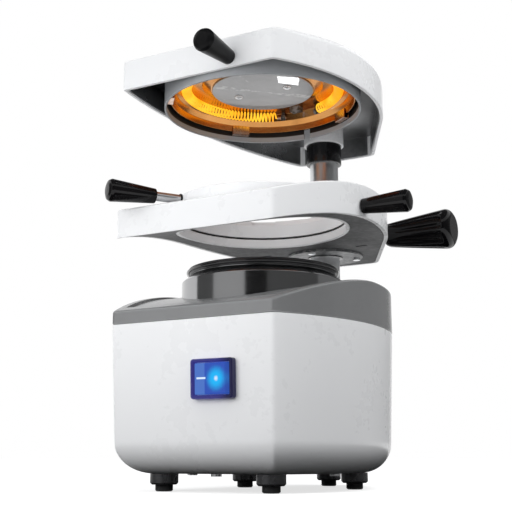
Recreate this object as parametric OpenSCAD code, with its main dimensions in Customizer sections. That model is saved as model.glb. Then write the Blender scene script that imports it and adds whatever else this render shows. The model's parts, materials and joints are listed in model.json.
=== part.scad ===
// Dental vacuum former: a base with motor, vacuum chamber and switch, a sheet frame
// that slides on a column, and a heater head that swings on top of the column.
// Origin: axis of the vacuum chamber at floor level. +X to the user's right, +Y to the back.

/* [Plan] */
// Distance from the chamber axis to the front facet
front_d = 73; // [73:0.5:76]
// Distance from the chamber axis to the back wall
back_d = 145; // [143:1:152]
// Furthest reach of the curved right side
right_bulge = 76; // [74:0.5:80]
// Radius of the curved right side
right_arc_r = 137; // [128:1:150]
// Furthest reach of the left side
left_bulge = 73; // [73:0.5:76]
// Radius of the nearly flat left side
left_arc_r = 400; // [360:5:440]
// Angle at which the curved right side runs out into the straight rear wall
rear_cut_angle = 26.3; // [24:0.1:29]
// Radius of the circle that trims the rear corners
corner_trim_r = 90.5; // [89:0.5:92]
// Where the sloping tops become level, behind the chamber axis
level_y = 15; // [10:1:20]

/* [Base body] */
// Height of the body's underside above the floor
foot_h = 11; // [9:0.5:14]
// Height of the white body
body_h = 93.4; // [90:0.5:100]
// Wall of the body and the cover
body_wall = 3; // [2.6:0.1:3.2]
// How far the base stands out beyond the head in plan
base_grow = 2; // [1.5:0.1:2.6]
// Lean of the body's walls, in degrees
body_draft = 2.1; // [1.6:0.1:2.4]
// Radius of the rounding round the underside
bottom_fillet = 20; // [16:1:22]

/* [Cover] */
// Height of the cover's band on the front facet
cover_front_h = 8.6; // [7:0.2:10]
// Rise of the cover from the facet to its level part
cover_rise = 20; // [17:0.5:22]
// Width of the rim round the recessed top
cover_rim_w = 7; // [5:0.5:8]
// Depth of the recess in the top
cover_recess = 1.6; // [1:0.1:2]

/* [Feet and floor] */
// Radius of a foot
foot_r = 9; // [8:0.2:10]
// Radius of the rubber tip under a foot
foot_tip_r = 5.6; // [4.6:0.2:6.4]
// Height of the rubber tip
foot_tip_h = 4.2; // [3.4:0.2:5]
// Radius of the screw that holds a foot
foot_screw_r = 2; // [1.6:0.1:2.4]
// Thickness of the steel floor plate
floor_t = 3; // [2:0.5:4]

/* [Switch and inlet] */
// Width of the switch bezel
bezel_w = 29.4; // [28:0.2:33]
// Height of the switch bezel
bezel_h = 24; // [23:0.2:27]
// Thickness of the switch bezel in front of the panel
bezel_t = 4.6; // [3.6:0.1:5]
// Sideways place of the switch
switch_x = 7; // [0:0.5:10]
// Height of the switch centre
switch_z = 67.2; // [62:0.2:72]
// Rest tilt of the rocker, in degrees
rocker_tilt = 5; // [3:0.5:6]
// Width of the mains inlet's flange
inlet_w = 48; // [46:0.5:50]
// Height of the mains inlet's flange
inlet_h = 23; // [22:0.5:26]
// Height of the inlet centre
inlet_z = 58; // [54:1:64]
// Distance of the fuse holder below the seam of body and cover
fuse_drop = 16.4; // [14:0.2:18]

/* [Motor] */
// Radius of the fan housing
fan_housing_r = 48; // [44:0.5:50]
// Height of the fan housing
fan_housing_h = 27; // [24:0.5:28]
// Radius of the motor can
motor_r = 34; // [30:0.5:37]
// Height of the motor can
motor_h = 42; // [38:0.5:43]
// Radius of the motor shaft
shaft_r = 4; // [3:0.2:5]

/* [Chamber and platform] */
// Radius of the vacuum chamber
chamber_r = 55; // [52:0.2:55.4]
// Height of the chamber's shoulder above the floor
chamber_top = 136; // [134.4:0.2:139]
// Radius of the black platform
platform_r = 52; // [50:0.2:54]
// Height of the chamber's neck above its shoulder
neck_h = 5.5; // [4.6:0.1:7]
// Height of the platform above the chamber's neck
platform_h = 2.6; // [2.4:0.1:6]
// Radius of the perforated plate
plate_r = 45; // [43:0.2:45.2]
// Thickness of the perforated plate
plate_t = 1.6; // [1.2:0.1:2]
// Radius of a suction hole
suction_r = 1.2; // [0.9:0.1:1.4]
// Spacing of the rings of suction holes
suction_pitch = 8; // [7.4:0.1:8.1]

/* [Column] */
// Radius of the column
column_r = 11.1; // [10.4:0.1:11.4]
// Wall of the column tube
column_wall = 2; // [1.5:0.1:3]
// Distance of the column's axis in front of the back wall
column_inset = 42.6; // [41:0.2:44]
// Height of the column's top above the floor
column_top = 281; // [265:0.5:300]
// Radial clearance of the bushes on the column
slide_clear = 0.06; // [0.04:0.01:0.1]

/* [Sheet frame] */
// How far the frame stands out beyond the head in plan
frame_grow = 1; // [0.5:0.1:1.5]
// Height of the frame's level underside
frame_z = 174.5; // [173.5:0.5:176.5]
// Height of the frame's level part
frame_h = 22; // [21:0.5:23.5]
// Drop of the underside at the front facet
under_drop = 13.5; // [12:0.5:15]
// Drop of the top at the front facet
top_drop = 16.5; // [15:0.5:17.5]
// Wall of the frame moulding
frame_wall = 3; // [2.6:0.1:3.4]
// Thickness of the grey underplate
underplate_t = 2.5; // [2:0.1:3]
// Radius of the opening for the sheet
opening_r = 57.3; // [56.8:0.1:58]
// Depth of the sheet seat above the level underside
seat_h = 6.2; // [5.7:0.1:6.5]
// Radius of the guide bush
bush_r = 13.7; // [13.2:0.1:14.2]
// Radius of the retaining plate round the column
bush_plate_r = 29; // [26:0.5:30]

/* [Clamp ring] */
// Radius of the ring's raised collar
collar_r = 62; // [61:0.1:62.4]
// Height of the collar
collar_h = 9.8; // [9.6:0.1:10.4]
// Radius of the ring's flange
flange_r = 64; // [63.6:0.1:64.6]
// Reach of a bayonet lug beyond the flange
lug_reach = 2.4; // [2:0.1:2.6]
// Running gap under and around the ring
ring_gap = 0.35; // [0.3:0.01:0.5]
// Turn of the ring between open and locked, in degrees
ring_turn = 28; // [24:1:32]
// Direction of the ring's handle, in degrees
handle_angle = -123; // [-125:0.5:-121]
// Height of the handle above the ring's underside
handle_lift = 6.4; // [6:0.1:6.5]

/* [Grips] */
// Length of a small grip
grip_len = 33; // [30:0.5:36]
// Radius of a small grip at its root
grip_root_r = 4.9; // [4.4:0.1:5.2]
// Radius of a small grip at its tip
grip_tip_r = 7.5; // [7:0.1:8]
// Radius of the steel handle stem
stem_r = 3.1; // [2.6:0.1:3.2]
// Length of the big lock knob
knob_len = 52; // [46:0.5:56]
// Radius of the lock knob at its root
knob_root_r = 8.6; // [8:0.1:9.2]
// Radius of the lock knob at its end
knob_end_r = 14.7; // [13.5:0.1:15.5]
// Radius of the lock screw
lock_screw_r = 4; // [3.5:0.1:4.4]

/* [Heater head] */
// Depth to which the column's top enters the head
head_grasp = 16.5; // [15.5:0.1:17]
// Height of the head's level part
head_h = 25.5; // [25.5:0.5:28]
// Drop of the head's top at the front facet
head_drop = 5; // [4:0.5:6]
// Wall of the head shell
head_wall = 2.5; // [2.2:0.1:2.5]
// Thickness of the dark lining
lining_t = 0.6; // [0.5:0.05:0.6]
// Outer radius of the heater shroud
shroud_r = 69.3; // [68.5:0.1:69.4]
// How far the shroud hangs below the shell
shroud_hang = 4; // [3:0.2:5]
// Thickness of the shroud
shroud_t = 1.5; // [1.2:0.1:1.8]
// Radius of the reflector's rim
reflector_r = 65.5; // [64.6:0.1:66]
// Radius of the satin centre plate
centre_plate_r = 36; // [33:0.5:37]
// Radius of the circle that the heating coil follows
coil_path_r = 54; // [53.4:0.1:54.4]
// Radius of a curl of the coil
coil_curl_r = 3.1; // [2.6:0.1:3.2]
// Radius of the coil's wire
coil_wire_r = 0.5; // [0.4:0.05:0.55]
// Number of curls in the coil
coil_curls = 84; // [60:1:88]
// Radius of the boss round the column
head_boss_r = 15.8; // [15.6:0.1:17]
// Radius of the black bearing bush
head_bush_r = 13.8; // [13.4:0.1:14.2]
// Sideways place of the head's grip
head_grip_x = 15; // [10:0.5:18]

/* [Hidden] */

white = "#f1f2f3";
cover_grey = "#7f8284";
dark_grey = "#5a5c5e";
black = "#19191a";
steel = "#b9bcbf";
brass = "#b89b58";

// Side faces of the big arcs and of small round parts
arc_fn = 360;
round_fn = 64;
fit = 0.1;
screw_head_h = 1.6;
span = 400;

// Centres of the arcs that bound the plan, from the sizes above
right_arc_x = right_bulge - right_arc_r;
right_arc_y = 12;
left_arc_x = left_arc_r - left_bulge;
left_arc_y = -12;
corner_x = -7;
corner_reach = 5.5;
corner_y = back_d + corner_reach - corner_trim_r;
column_y = back_d - column_inset;

seam_z = foot_h + body_h;
cover_top = seam_z + cover_front_h + cover_rise;
body_front = front_d + base_grow;
frame_top = frame_z + frame_h;
head_z = column_top - head_grasp;
head_top = head_z + head_h;
ceiling_t = 3;

seat_z = frame_z + seat_h;
gasket_t = 1;
ring_z = seat_z + gasket_t + ring_gap;
flange_t = 1.6;
collar_z = ring_z + collar_h;
pocket_r = flange_r + ring_gap;
lug_w = 14;
lug_angles = [30, 90, 150];
pocket_block_r = flange_r + lug_reach + ring_gap + 3;
seat_tube_r = opening_r + 2.6;
handle_z = ring_z + handle_lift;
stem_in = opening_r + 1.2;
grip_from = front_d + 7.5;
grip_bite = 12;
right_grip_y = -4;
right_grip_rise = 1.5;
right_grip_z = frame_z + grip_root_r + right_grip_rise;
right_wall_x = right_arc_x + sqrt(pow(right_arc_r + frame_grow, 2) - pow(right_grip_y - right_arc_y, 2));
lock_z = frame_z + frame_h / 2;
rear_wall_from_arc = right_arc_x * cos(rear_cut_angle) + right_arc_y * sin(rear_cut_angle);
rear_wall_reach = rear_wall_from_arc + right_arc_r + frame_grow;
lock_root_x = (rear_wall_reach - column_y * sin(rear_cut_angle)) / cos(rear_cut_angle) + 3.6;
lock_boss_r = 9;
insert_r = 6.4;
pad_len = 3;
frame_boss_r = 18.5;
bush_low = frame_z - 2.2;
bush_plate_t = 1.6;
bush_high = frame_top + 0.8;
bush_screw_ring = bush_plate_r - 4.5;
bush_screw_r = 1.4;
bush_screw_head_r = 2.8;
bush_screw_len = 9;

chamber_z = seam_z - 7.4;
chamber_floor_t = 3;
chamber_flange_r = chamber_r + 8;
chamber_wall = 3;
bowl_overhang = 2.5;
bowl_h = 1.6;
neck_r = platform_r - bowl_overhang;
base_z = chamber_top + neck_h;
platform_top = base_z + platform_h;
spigot_depth = 5;
spigot_clear = 0.2;
spigot_wall = 4;
platform_ledge = 3;
gasket_h = 1.3;
chamber_screw_ring = chamber_r + 4.4;
chamber_screw_angles = [35, 145, -28, -152];
suction_bore = 12;

floor_z = foot_h;
floor_inset = bottom_fillet + 3.6;
pillar_r = 4.5;
ledge_t = 2.4;
pillar_head_r = 3.4;
pillar_screw_len = 9;
pillar_places = [[-46, -14], [48, 8], [-35, column_y - 18.4], [28, column_y - 22.4], [-8, -46]];
foot_places = [[-46, -47], [31, -47], [45, 46], [-42, 50], [-3, column_y + 6.6]];
socket_h = 28;
socket_r = 16.5;
socket_flange_r = 25;
socket_flange_t = 4;
socket_screw_ring = 20.8;
socket_screw_angles = [-15, 165, 255];
socket_screw_r = 2;
socket_nut_h = 2.4;
column_z = floor_z + floor_t + socket_flange_t;
cover_boss_r = column_r + 6;

fan_z = chamber_z - 3 - fan_housing_h;
fan_wall = 1.6;
motor_z = fan_z - motor_h;
impeller_h = 17;

panel_y = -(body_front - (seam_z - switch_z) * tan(body_draft));
bezel_wall = 1.3;
tub_wall = 1;
housing_depth = 21;
rocker_depth = 7;
rocker_pivot = 1.5;
rocker_pin_r = 1.2;
inlet_x = -8;
inlet_depth = 19;
fuse_z = seam_z - fuse_drop;
fuse_r = 6.5;
back_y = back_d + base_grow;

lining_inset = head_wall + fit / 2;
lining_top = head_top - head_drop - ceiling_t - 0.8;
shroud_z = head_z - shroud_hang;
reflector_t = 0.8;
rim_z = shroud_z + 6.8;
groove_z = lining_top - 0.4;
disc_z = groove_z - 4.2;
coil_z = groove_z - reflector_t - coil_curl_r - coil_wire_r - 0.3;
coil_start = 108;
coil_end = 428;
clip_angles = [54.6, 133.7, 218];
clip_w = 13;
centre_screw_x = 19.5;
centre_screw_r = 1.5;
centre_screw_head_r = 2.9;
terminal_r = 1.4;
terminal_len = 3;
terminal_pin_r = 0.9;
insulator_r = 2.2;
insulator_len = 3;
insulator_post_r = 1.4;
head_boss_hang = 0.5;
head_bush_lip = 15.5;
head_grip_lift = 6.5;
boss_low = head_z - head_boss_hang;
head_bush_low = boss_low - head_bush_lip;
head_bush_high = column_top + 0.3;
head_grip_z = head_z + head_grip_lift;
pivot_screw_r = 3;
pivot_head_r = 6;
pivot_cap_r = 9;
pivot_pocket = 5;

// Region of the plan, drawn inwards by inset or outwards when inset is negative
module plan(inset, fn = arc_fn) {
    intersection() {
        translate([right_arc_x, right_arc_y])
            union() {
                circle(r = right_arc_r - inset, $fn = fn);
                rotate(rear_cut_angle)
                    translate([-span / 2, 0])
                        square([span / 2 + right_arc_r - inset, span]);
            }
        translate([left_arc_x, left_arc_y])
            circle(r = left_arc_r - inset, $fn = 2 * fn);
        union() {
            translate([corner_x, corner_y])
                circle(r = corner_trim_r - inset, $fn = fn);
            translate([-span / 2, corner_y - span])
                square([span, span]);
        }
        translate([-span / 2, -front_d + inset])
            square([span, back_d + front_d - 2 * inset]);
    }
}

// Everything below a top that is level at the back and falls by drop at the facet
module below(top, drop) {
    reach = level_y + body_front;
    r = (reach * reach + drop * drop) / (2 * drop);
    rotate([90, 0, 90])
        linear_extrude(span, center = true)
            union() {
                translate([level_y, top - r])
                    circle(r = r, $fn = arc_fn);
                translate([level_y, top - span])
                    square([span, span]);
            }
}

// Upright block of the plan between two heights
module block(inset, low, high) {
    translate([0, 0, low])
        linear_extrude(high - low)
            plan(inset);
}

// Upright cylinder from one height to another
module post(r, low, high) {
    translate([0, 0, low])
        cylinder(r = r, h = high - low, $fn = round_fn);
}

// Upright tube from one height to another
module tube(outer, inner, low, high) {
    translate([0, 0, low])
        difference() {
            cylinder(r = outer, h = high - low, $fn = 2 * round_fn);
            translate([0, 0, -1])
                cylinder(r = inner, h = high - low + 2, $fn = 2 * round_fn);
        }
}

// Round bar along +X from one x to another
module bar(r, from_x, to_x) {
    translate([from_x, 0, 0])
        rotate([0, 90, 0])
            cylinder(r = r, h = to_x - from_x, $fn = round_fn);
}

// Copies its child round the axis at the given ring radius and angles
module around(ring, angles) {
    for (a = angles)
        rotate(a)
            translate([ring, 0, 0])
                children();
}

// Copies its child at each of the given places
module at_places(places) {
    for (p = places)
        translate([p[0], p[1], 0])
            children();
}

module column_place() {
    translate([0, column_y, 0])
        children();
}

// Solid of the white body: leaning walls with a rounded lower edge, open at the top
module body_form(inset, low_cut) {
    lean = (body_h - bottom_fillet) * tan(body_draft);
    slice = 0.01;
    hull() {
        translate([0, 0, seam_z - slice])
            linear_extrude(slice)
                plan(inset - base_grow, 120);
        for (a = [0 : 15 : 90])
            translate([0, 0, low_cut + foot_h + bottom_fillet * (1 - cos(a))])
                linear_extrude(slice)
                    plan(inset - base_grow + lean + bottom_fillet * (1 - sin(a)) - (a == 0 ? 0.001 : 0), 120);
    }
}

module body_shell() {
    color(white)
        difference() {
            union() {
                difference() {
                    body_form(0, 0);
                    translate([0, 0, 0.02])
                        body_form(body_wall, body_wall);
                    block(floor_inset - base_grow, 0, floor_z + floor_t + ledge_t);
                }
                intersection() {
                    body_form(1, 0.5);
                    difference() {
                        union() {
                            block(4, floor_z + floor_t, floor_z + floor_t + ledge_t);
                            at_places(pillar_places)
                                post(pillar_r, floor_z + floor_t, floor_z + floor_t + 12);
                        }
                        difference() {
                            block(floor_inset + 6, 0, floor_z + floor_t + ledge_t + 1);
                            at_places(pillar_places)
                                post(pillar_r, 0, span);
                        }
                    }
                }
            }
            block(floor_inset - base_grow, 0, floor_z + floor_t);
            at_places(pillar_places)
                post(foot_screw_r - 0.4, 0, floor_z + floor_t + 10);
            column_place()
                post(socket_flange_r + 0.5, floor_z + floor_t, floor_z + floor_t + 8);
            translate([switch_x, panel_y, switch_z])
                rotate([body_draft, 0, 0])
                    cube([bezel_w - 2 * bezel_wall, 30, bezel_h - 2 * bezel_wall], center = true);
            on_back(inlet_z)
                cube([inlet_w - 16, 30, inlet_h - 3], center = true);
            on_back(fuse_z)
                rotate([-90, 0, 0])
                    cylinder(r = fuse_r, h = 30, center = true, $fn = round_fn);
        }
}

// Places its child on the leaning back wall at height z, with y = 0 on the wall
module on_back(z) {
    translate([inlet_x, back_y - (seam_z - z) * tan(body_draft), z])
        rotate([-body_draft, 0, 0])
            children();
}

module top_cover() {
    color(cover_grey)
        difference() {
            union() {
                difference() {
                    intersection() {
                        block(-base_grow, seam_z, cover_top + 1);
                        below(cover_top, cover_rise);
                    }
                    intersection() {
                        block(body_wall - base_grow, seam_z - 1, cover_top);
                        below(cover_top - body_wall, cover_rise);
                    }
                    difference() {
                        block(cover_rim_w - base_grow, seam_z, cover_top + 1);
                        below(cover_top - cover_recess, cover_rise);
                    }
                }
                intersection() {
                    union() {
                        column_place()
                            post(cover_boss_r, seam_z - 12, cover_top);
                        around(chamber_screw_ring, chamber_screw_angles)
                            post(3.8, chamber_z + chamber_floor_t, cover_top);
                        tube(chamber_r + 3.4, chamber_r + fit, chamber_z + chamber_floor_t + 3, cover_top);
                    }
                    below(cover_top - cover_recess - 0.4, cover_rise);
                }
            }
            column_place()
                post(column_r + fit, 0, cover_top + 2);
            post(chamber_r + fit, 0, cover_top + 2);
            around(chamber_screw_ring, chamber_screw_angles)
                post(1.5, chamber_z, chamber_z + 14);
        }
}

module floor_plate() {
    color(steel)
        difference() {
            block(floor_inset - base_grow + fit, floor_z, floor_z + floor_t);
            at_places(pillar_places)
                post(foot_screw_r + fit, 0, span);
            at_places(foot_places)
                post(foot_screw_r + fit, 0, span);
            column_place()
                around(socket_screw_ring, socket_screw_angles)
                    post(socket_screw_r + fit, 0, span);
            for (i = [-3 : 3])
                translate([i * 9, 12, floor_z + floor_t / 2])
                    cube([4, 34, 3 * floor_t], center = true);
        }
}

module floor_screws() {
    color(steel)
        at_places(pillar_places)
            union() {
                post(foot_screw_r - 0.5, floor_z, floor_z + floor_t + pillar_screw_len);
                post(pillar_head_r, floor_z - screw_head_h, floor_z);
            }
}

module feet() {
    color(cover_grey)
        at_places(foot_places)
            difference() {
                rotate_extrude($fn = round_fn)
                    polygon([
                        [0, foot_tip_h], [foot_r - 1.2, foot_tip_h], [foot_r, foot_tip_h + 1.2],
                        [foot_r, floor_z], [0, floor_z]
                    ]);
                post(foot_screw_r + fit, 0, floor_z + 1);
                post(3.8, 0, foot_tip_h + 2.4);
            }
}

module foot_tips() {
    color(black)
        at_places(foot_places)
            difference() {
                rotate_extrude($fn = round_fn)
                    polygon([
                        [0, 0], [foot_tip_r - 0.8, 0], [foot_tip_r, 0.8],
                        [foot_tip_r, foot_tip_h], [0, foot_tip_h]
                    ]);
                post(3.8, 1, foot_tip_h + 1);
            }
}

module foot_screws() {
    color(steel)
        at_places(foot_places)
            union() {
                post(foot_screw_r, foot_tip_h + 2.4, floor_z + floor_t - 0.2);
                post(3.6, foot_tip_h + 2.4 - screw_head_h, foot_tip_h + 2.4);
            }
}

// Places its child on the leaning front facet, with y = 0 on the panel
module on_panel() {
    translate([switch_x, panel_y, switch_z])
        rotate([body_draft, 0, 0])
            children();
}

module switch_housing() {
    inner_w = bezel_w - 2 * bezel_wall;
    inner_h = bezel_h - 2 * bezel_wall;
    color(black)
        on_panel()
            difference() {
                union() {
                    translate([-bezel_w / 2, -bezel_t, -bezel_h / 2])
                        cube([bezel_w, bezel_t, bezel_h]);
                    translate([-inner_w / 2 + fit, -0.5, -inner_h / 2 + fit])
                        cube([inner_w - 2 * fit, housing_depth, inner_h - 2 * fit]);
                }
                translate([-inner_w / 2 + tub_wall, -bezel_t - 5, -inner_h / 2 + tub_wall])
                    cube([inner_w - 2 * tub_wall, 5 + bezel_t + rocker_depth + 4, inner_h - 2 * tub_wall]);
                translate([0, rocker_pivot, 0])
                    cylinder(r = rocker_pin_r + 0.05, h = inner_h - 0.6, center = true, $fn = round_fn);
            }
}

// Rocker that tips about an upright pin, its left side pressed in at rest
module switch_rocker() {
    half_w = bezel_w / 2 - bezel_wall - tub_wall - 0.85;
    half_h = bezel_h / 2 - bezel_wall - tub_wall - 0.35;
    front = bezel_t + rocker_pivot;
    crease_x = -0.42 * half_w;
    color("#2a63ff")
        on_panel()
            translate([0, rocker_pivot, 0])
                rotate(-rocker_tilt)
                    union() {
                        linear_extrude(2 * half_h, center = true)
                            polygon([
                                [-half_w, -front - 0.4], [crease_x, -front + 0.4], [half_w, -front - 0.6],
                                [half_w - 0.4, 1.2], [0, 3.4], [-half_w + 0.4, 1.2]
                            ]);
                        cylinder(r = rocker_pin_r, h = 2 * half_h + 1.4, center = true, $fn = round_fn);
                    }
}

module mains_inlet() {
    color(black)
        on_back(inlet_z)
            difference() {
                union() {
                    translate([-inlet_w / 2, 0, -inlet_h / 2])
                        cube([inlet_w, 2.4, inlet_h]);
                    translate([-inlet_w / 2 + 8 + fit, -inlet_depth, -inlet_h / 2 + 1.5 + fit])
                        cube([inlet_w - 16 - 2 * fit, inlet_depth + 1, inlet_h - 3 - 2 * fit]);
                }
                translate([-12, -inlet_depth + 3, -8])
                    cube([24, inlet_depth + 3, 16]);
                for (s = [-1, 1])
                    translate([s * (inlet_w / 2 - 4), -1, 0])
                        rotate([-90, 0, 0])
                            cylinder(r = 1.6, h = 5, $fn = round_fn);
            }
}

module fuse_holder() {
    color(black)
        on_back(fuse_z)
            rotate([-90, 0, 0])
                union() {
                    translate([0, 0, -24])
                        cylinder(r = fuse_r - fit, h = 24.5, $fn = round_fn);
                    cylinder(r = fuse_r + 2, h = 2, $fn = round_fn);
                    difference() {
                        translate([0, 0, 1])
                            cylinder(r = fuse_r - 0.8, h = 4.5, $fn = round_fn);
                        translate([-0.7, -4, 4.4])
                            cube([1.4, 8, 3]);
                    }
                }
}

module motor_can() {
    color(steel)
        difference() {
            union() {
                post(motor_r, motor_z, fan_z);
                post(12, motor_z - 3, motor_z);
            }
            post(motor_r - 2, motor_z + 2, fan_z + 1);
            post(shaft_r + slide_clear, motor_z - 1.5, fan_z);
        }
}

module fan_housing() {
    color(steel)
        difference() {
            post(fan_housing_r, fan_z, fan_z + fan_housing_h);
            post(fan_housing_r - fan_wall, fan_z + fan_wall, fan_z + fan_housing_h - fan_wall);
            post(suction_bore, fan_z + fan_housing_h - 2 * fan_wall, fan_z + fan_housing_h + 1);
            post(shaft_r + slide_clear, fan_z - 1, fan_z + 3);
            for (a = [0 : 30 : 330])
                rotate(a)
                    translate([fan_housing_r, 0, fan_z + 9])
                        cube([8, 10, 8], center = true);
        }
}

module motor_seal() {
    color(black)
        tube(suction_bore + 10, suction_bore, fan_z + fan_housing_h, chamber_z);
}

module motor_pad() {
    color(black)
        difference() {
            post(22, floor_z + floor_t, motor_z);
            post(12 + fit, motor_z - 3 - fit, motor_z + 1);
        }
}

module impeller() {
    low = fan_z + fan_wall + 3;
    rim = fan_housing_r - fan_wall - 3;
    color(steel)
        difference() {
            union() {
                rotate_extrude($fn = 2 * round_fn)
                    polygon([
                        [suction_bore + 2, low + impeller_h - 1.2], [rim, low + impeller_h - 1.2],
                        [rim, low + impeller_h], [suction_bore + 2, low + impeller_h]
                    ]);
                rotate_extrude($fn = 2 * round_fn)
                    polygon([
                        [0, low], [rim, low], [rim, low + 1.2], [shaft_r + 4, low + 1.2],
                        [shaft_r + 4, low + impeller_h - 4], [0, low + impeller_h - 4]
                    ]);
                for (a = [0 : 40 : 320])
                    rotate(a)
                        translate([suction_bore + 5, -6, low + 0.6])
                            rotate(28)
                                cube([21, 1.4, impeller_h - 1.2]);
            }
            post(shaft_r, low - 1, low + impeller_h);
        }
}

module motor_shaft() {
    color(steel)
        union() {
            post(shaft_r, motor_z - 1, fan_z + fan_wall + 3 + impeller_h - 4);
            post(motor_r - 8, motor_z + 6, motor_z + 34);
        }
}

module vacuum_chamber() {
    inner = chamber_r - chamber_wall;
    neck_in = neck_r - chamber_wall;
    color(dark_grey)
        difference() {
            rotate_extrude($fn = 2 * round_fn)
                polygon([
                    [suction_bore, chamber_z], [chamber_flange_r, chamber_z],
                    [chamber_flange_r, chamber_z + chamber_floor_t],
                    [chamber_r, chamber_z + chamber_floor_t], [chamber_r, chamber_top - 0.8],
                    [chamber_r - 0.8, chamber_top], [neck_r, base_z - 1],
                    [neck_r, base_z], [neck_in, base_z],
                    [neck_in, chamber_top], [inner, chamber_top - 5],
                    [inner, chamber_z + chamber_floor_t],
                    [suction_bore, chamber_z + chamber_floor_t]
                ]);
            around(chamber_screw_ring, chamber_screw_angles)
                post(2 + fit, chamber_z - 1, chamber_z + chamber_floor_t + 0.01);
        }
}

module chamber_screws() {
    color(steel)
        around(chamber_screw_ring, chamber_screw_angles)
            union() {
                post(1.4, chamber_z, chamber_z + 11);
                post(3.2, chamber_z - screw_head_h, chamber_z);
            }
}

// Radius of the platform's rounded outside at a share s of its lower curve
function bowl(s) = [neck_r + bowl_overhang * sin(90 * s), base_z + bowl_h * (1 - cos(90 * s))];

module platform() {
    spigot = neck_r - chamber_wall - spigot_clear;
    color(black)
        rotate_extrude($fn = 2 * round_fn)
            polygon(concat(
                [[spigot - spigot_wall, base_z - spigot_depth], [spigot, base_z - spigot_depth],
                 [spigot, base_z]],
                [for (i = [0 : 8]) bowl(i / 8)],
                [[platform_r, platform_top - 0.6], [platform_r - 0.6, platform_top],
                 [plate_r + fit, platform_top], [plate_r + fit, platform_top - plate_t - 0.2],
                 [plate_r - platform_ledge, platform_top - plate_t - 0.2],
                 [plate_r - platform_ledge, base_z - spigot_depth + 1]]
            ));
}

module perforated_plate() {
    low = platform_top - plate_t - 0.2;
    color(steel)
        difference() {
            post(plate_r, low, low + plate_t);
            post(suction_r, low - 1, platform_top + 1);
            for (k = [1 : 5])
                for (i = [0 : 6 * k - 1])
                    rotate(i * 60 / k)
                        translate([k * suction_pitch, 0, low - 1])
                            cylinder(r = suction_r, h = plate_t + 2, $fn = 24);
        }
}

module platform_gasket() {
    color(black)
        tube(platform_r - 1.2, plate_r + 1.4, platform_top, platform_top + gasket_h);
}

module column_socket() {
    color(dark_grey)
        column_place()
            difference() {
                union() {
                    post(socket_flange_r, floor_z + floor_t, column_z);
                    post(socket_r, floor_z + floor_t, floor_z + floor_t + socket_h);
                }
                post(column_r + fit, column_z - 1, floor_z + floor_t + socket_h + 1);
                around(socket_screw_ring, socket_screw_angles)
                    post(socket_screw_r + fit, 0, span);
            }
}

module socket_screws() {
    color(steel)
        column_place()
            around(socket_screw_ring, socket_screw_angles)
                union() {
                    post(socket_screw_r, floor_z, column_z + socket_nut_h + 0.4);
                    post(pillar_head_r, floor_z - screw_head_h, floor_z);
                    post(pillar_head_r, column_z, column_z + socket_nut_h);
                }
}

module column() {
    color(steel)
        column_place()
            tube(column_r, column_r - column_wall, column_z - 1, column_top);
}

module column_plug() {
    color(steel)
        column_place()
            difference() {
                post(column_r - column_wall, column_top - 16, column_top);
                post(pivot_screw_r, column_top - 12, column_top + 1);
            }
}

module pivot_screw() {
    color(steel)
        column_place()
            union() {
                post(pivot_screw_r, column_top - 11, head_top - pivot_pocket + 0.4);
                post(pivot_head_r, head_top - pivot_pocket + 0.4, head_top - pivot_pocket + 3);
            }
}

// The frame moulding: a shell with a pocket for the clamp ring and a boss for the bush
module frame_shell() {
    color(white)
        difference() {
            intersection() {
                difference() {
                    intersection() {
                        block(-frame_grow, frame_z - span / 4, frame_top + 1);
                        below(frame_top, top_drop);
                    }
                    below(frame_z, under_drop);
                }
                union() {
                    difference() {
                        block(-frame_grow, frame_z - span / 4, frame_top + 1);
                        intersection() {
                            block(frame_wall - frame_grow, frame_z - span / 2, frame_top);
                            below(frame_top - frame_wall, top_drop);
                        }
                    }
                    post(pocket_block_r, frame_z + underplate_t, frame_top + 1);
                    post(seat_tube_r, frame_z - span / 4, frame_top);
                    column_place()
                        post(frame_boss_r, frame_z + underplate_t, frame_top);
                    translate([0, column_y, lock_z])
                        bar(lock_boss_r, column_r, lock_root_x - 1);
                    translate([0, right_grip_y, right_grip_z])
                        bar(grip_root_r + 1, flange_r + lug_reach, right_bulge);
                }
            }
            post(opening_r, 0, span);
            post(pocket_r, seat_z, span);
            ring_grooves();
            sector(
                front_d + 6, handle_z - stem_r - ring_gap, frame_top + 1,
                handle_angle - 6, handle_angle + ring_turn + 6
            );
            column_place()
                post(bush_r, 0, span);
            translate([0, column_y, lock_z])
                bar(insert_r, bush_r + 3, span);
            translate([0, column_y, lock_z])
                bar(lock_screw_r + 0.3, 0, span);
            translate([0, column_y, lock_z])
                bar(knob_root_r + 0.8, lock_root_x - 0.4, span);
            translate([0, right_grip_y, right_grip_z])
                bar(2.5, right_bulge - 8, span);
            column_place()
                around(bush_screw_ring, [30, 150, 270])
                    post(bush_screw_r + fit, frame_z, frame_z + bush_screw_len + 3);
        }
}

// Grooves in which the bayonet lugs turn, each with a way in from above
module ring_grooves() {
    groove_r = flange_r + lug_reach + ring_gap;
    low = seat_z + gasket_t;
    high = ring_z + flange_t + ring_gap;
    for (a = lug_angles) {
        sector(groove_r, low, high, a - lug_w / 2 - 1, a + ring_turn + lug_w / 2 + 1);
        sector(groove_r, low, frame_top + 1, a + ring_turn - lug_w / 2 - 1, a + ring_turn + lug_w / 2 + 1);
    }
}

// Wedge of a round disc between two angles, from the middle out to r
module sector(r, low, high, from_a, to_a) {
    reach = 2 * r;
    translate([0, 0, low])
        linear_extrude(high - low)
            intersection() {
                circle(r = r, $fn = 2 * round_fn);
                polygon([
                    [0, 0], [reach * cos(from_a), reach * sin(from_a)],
                    [reach * cos((from_a + to_a) / 2), reach * sin((from_a + to_a) / 2)],
                    [reach * cos(to_a), reach * sin(to_a)]
                ]);
            }
}

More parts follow.
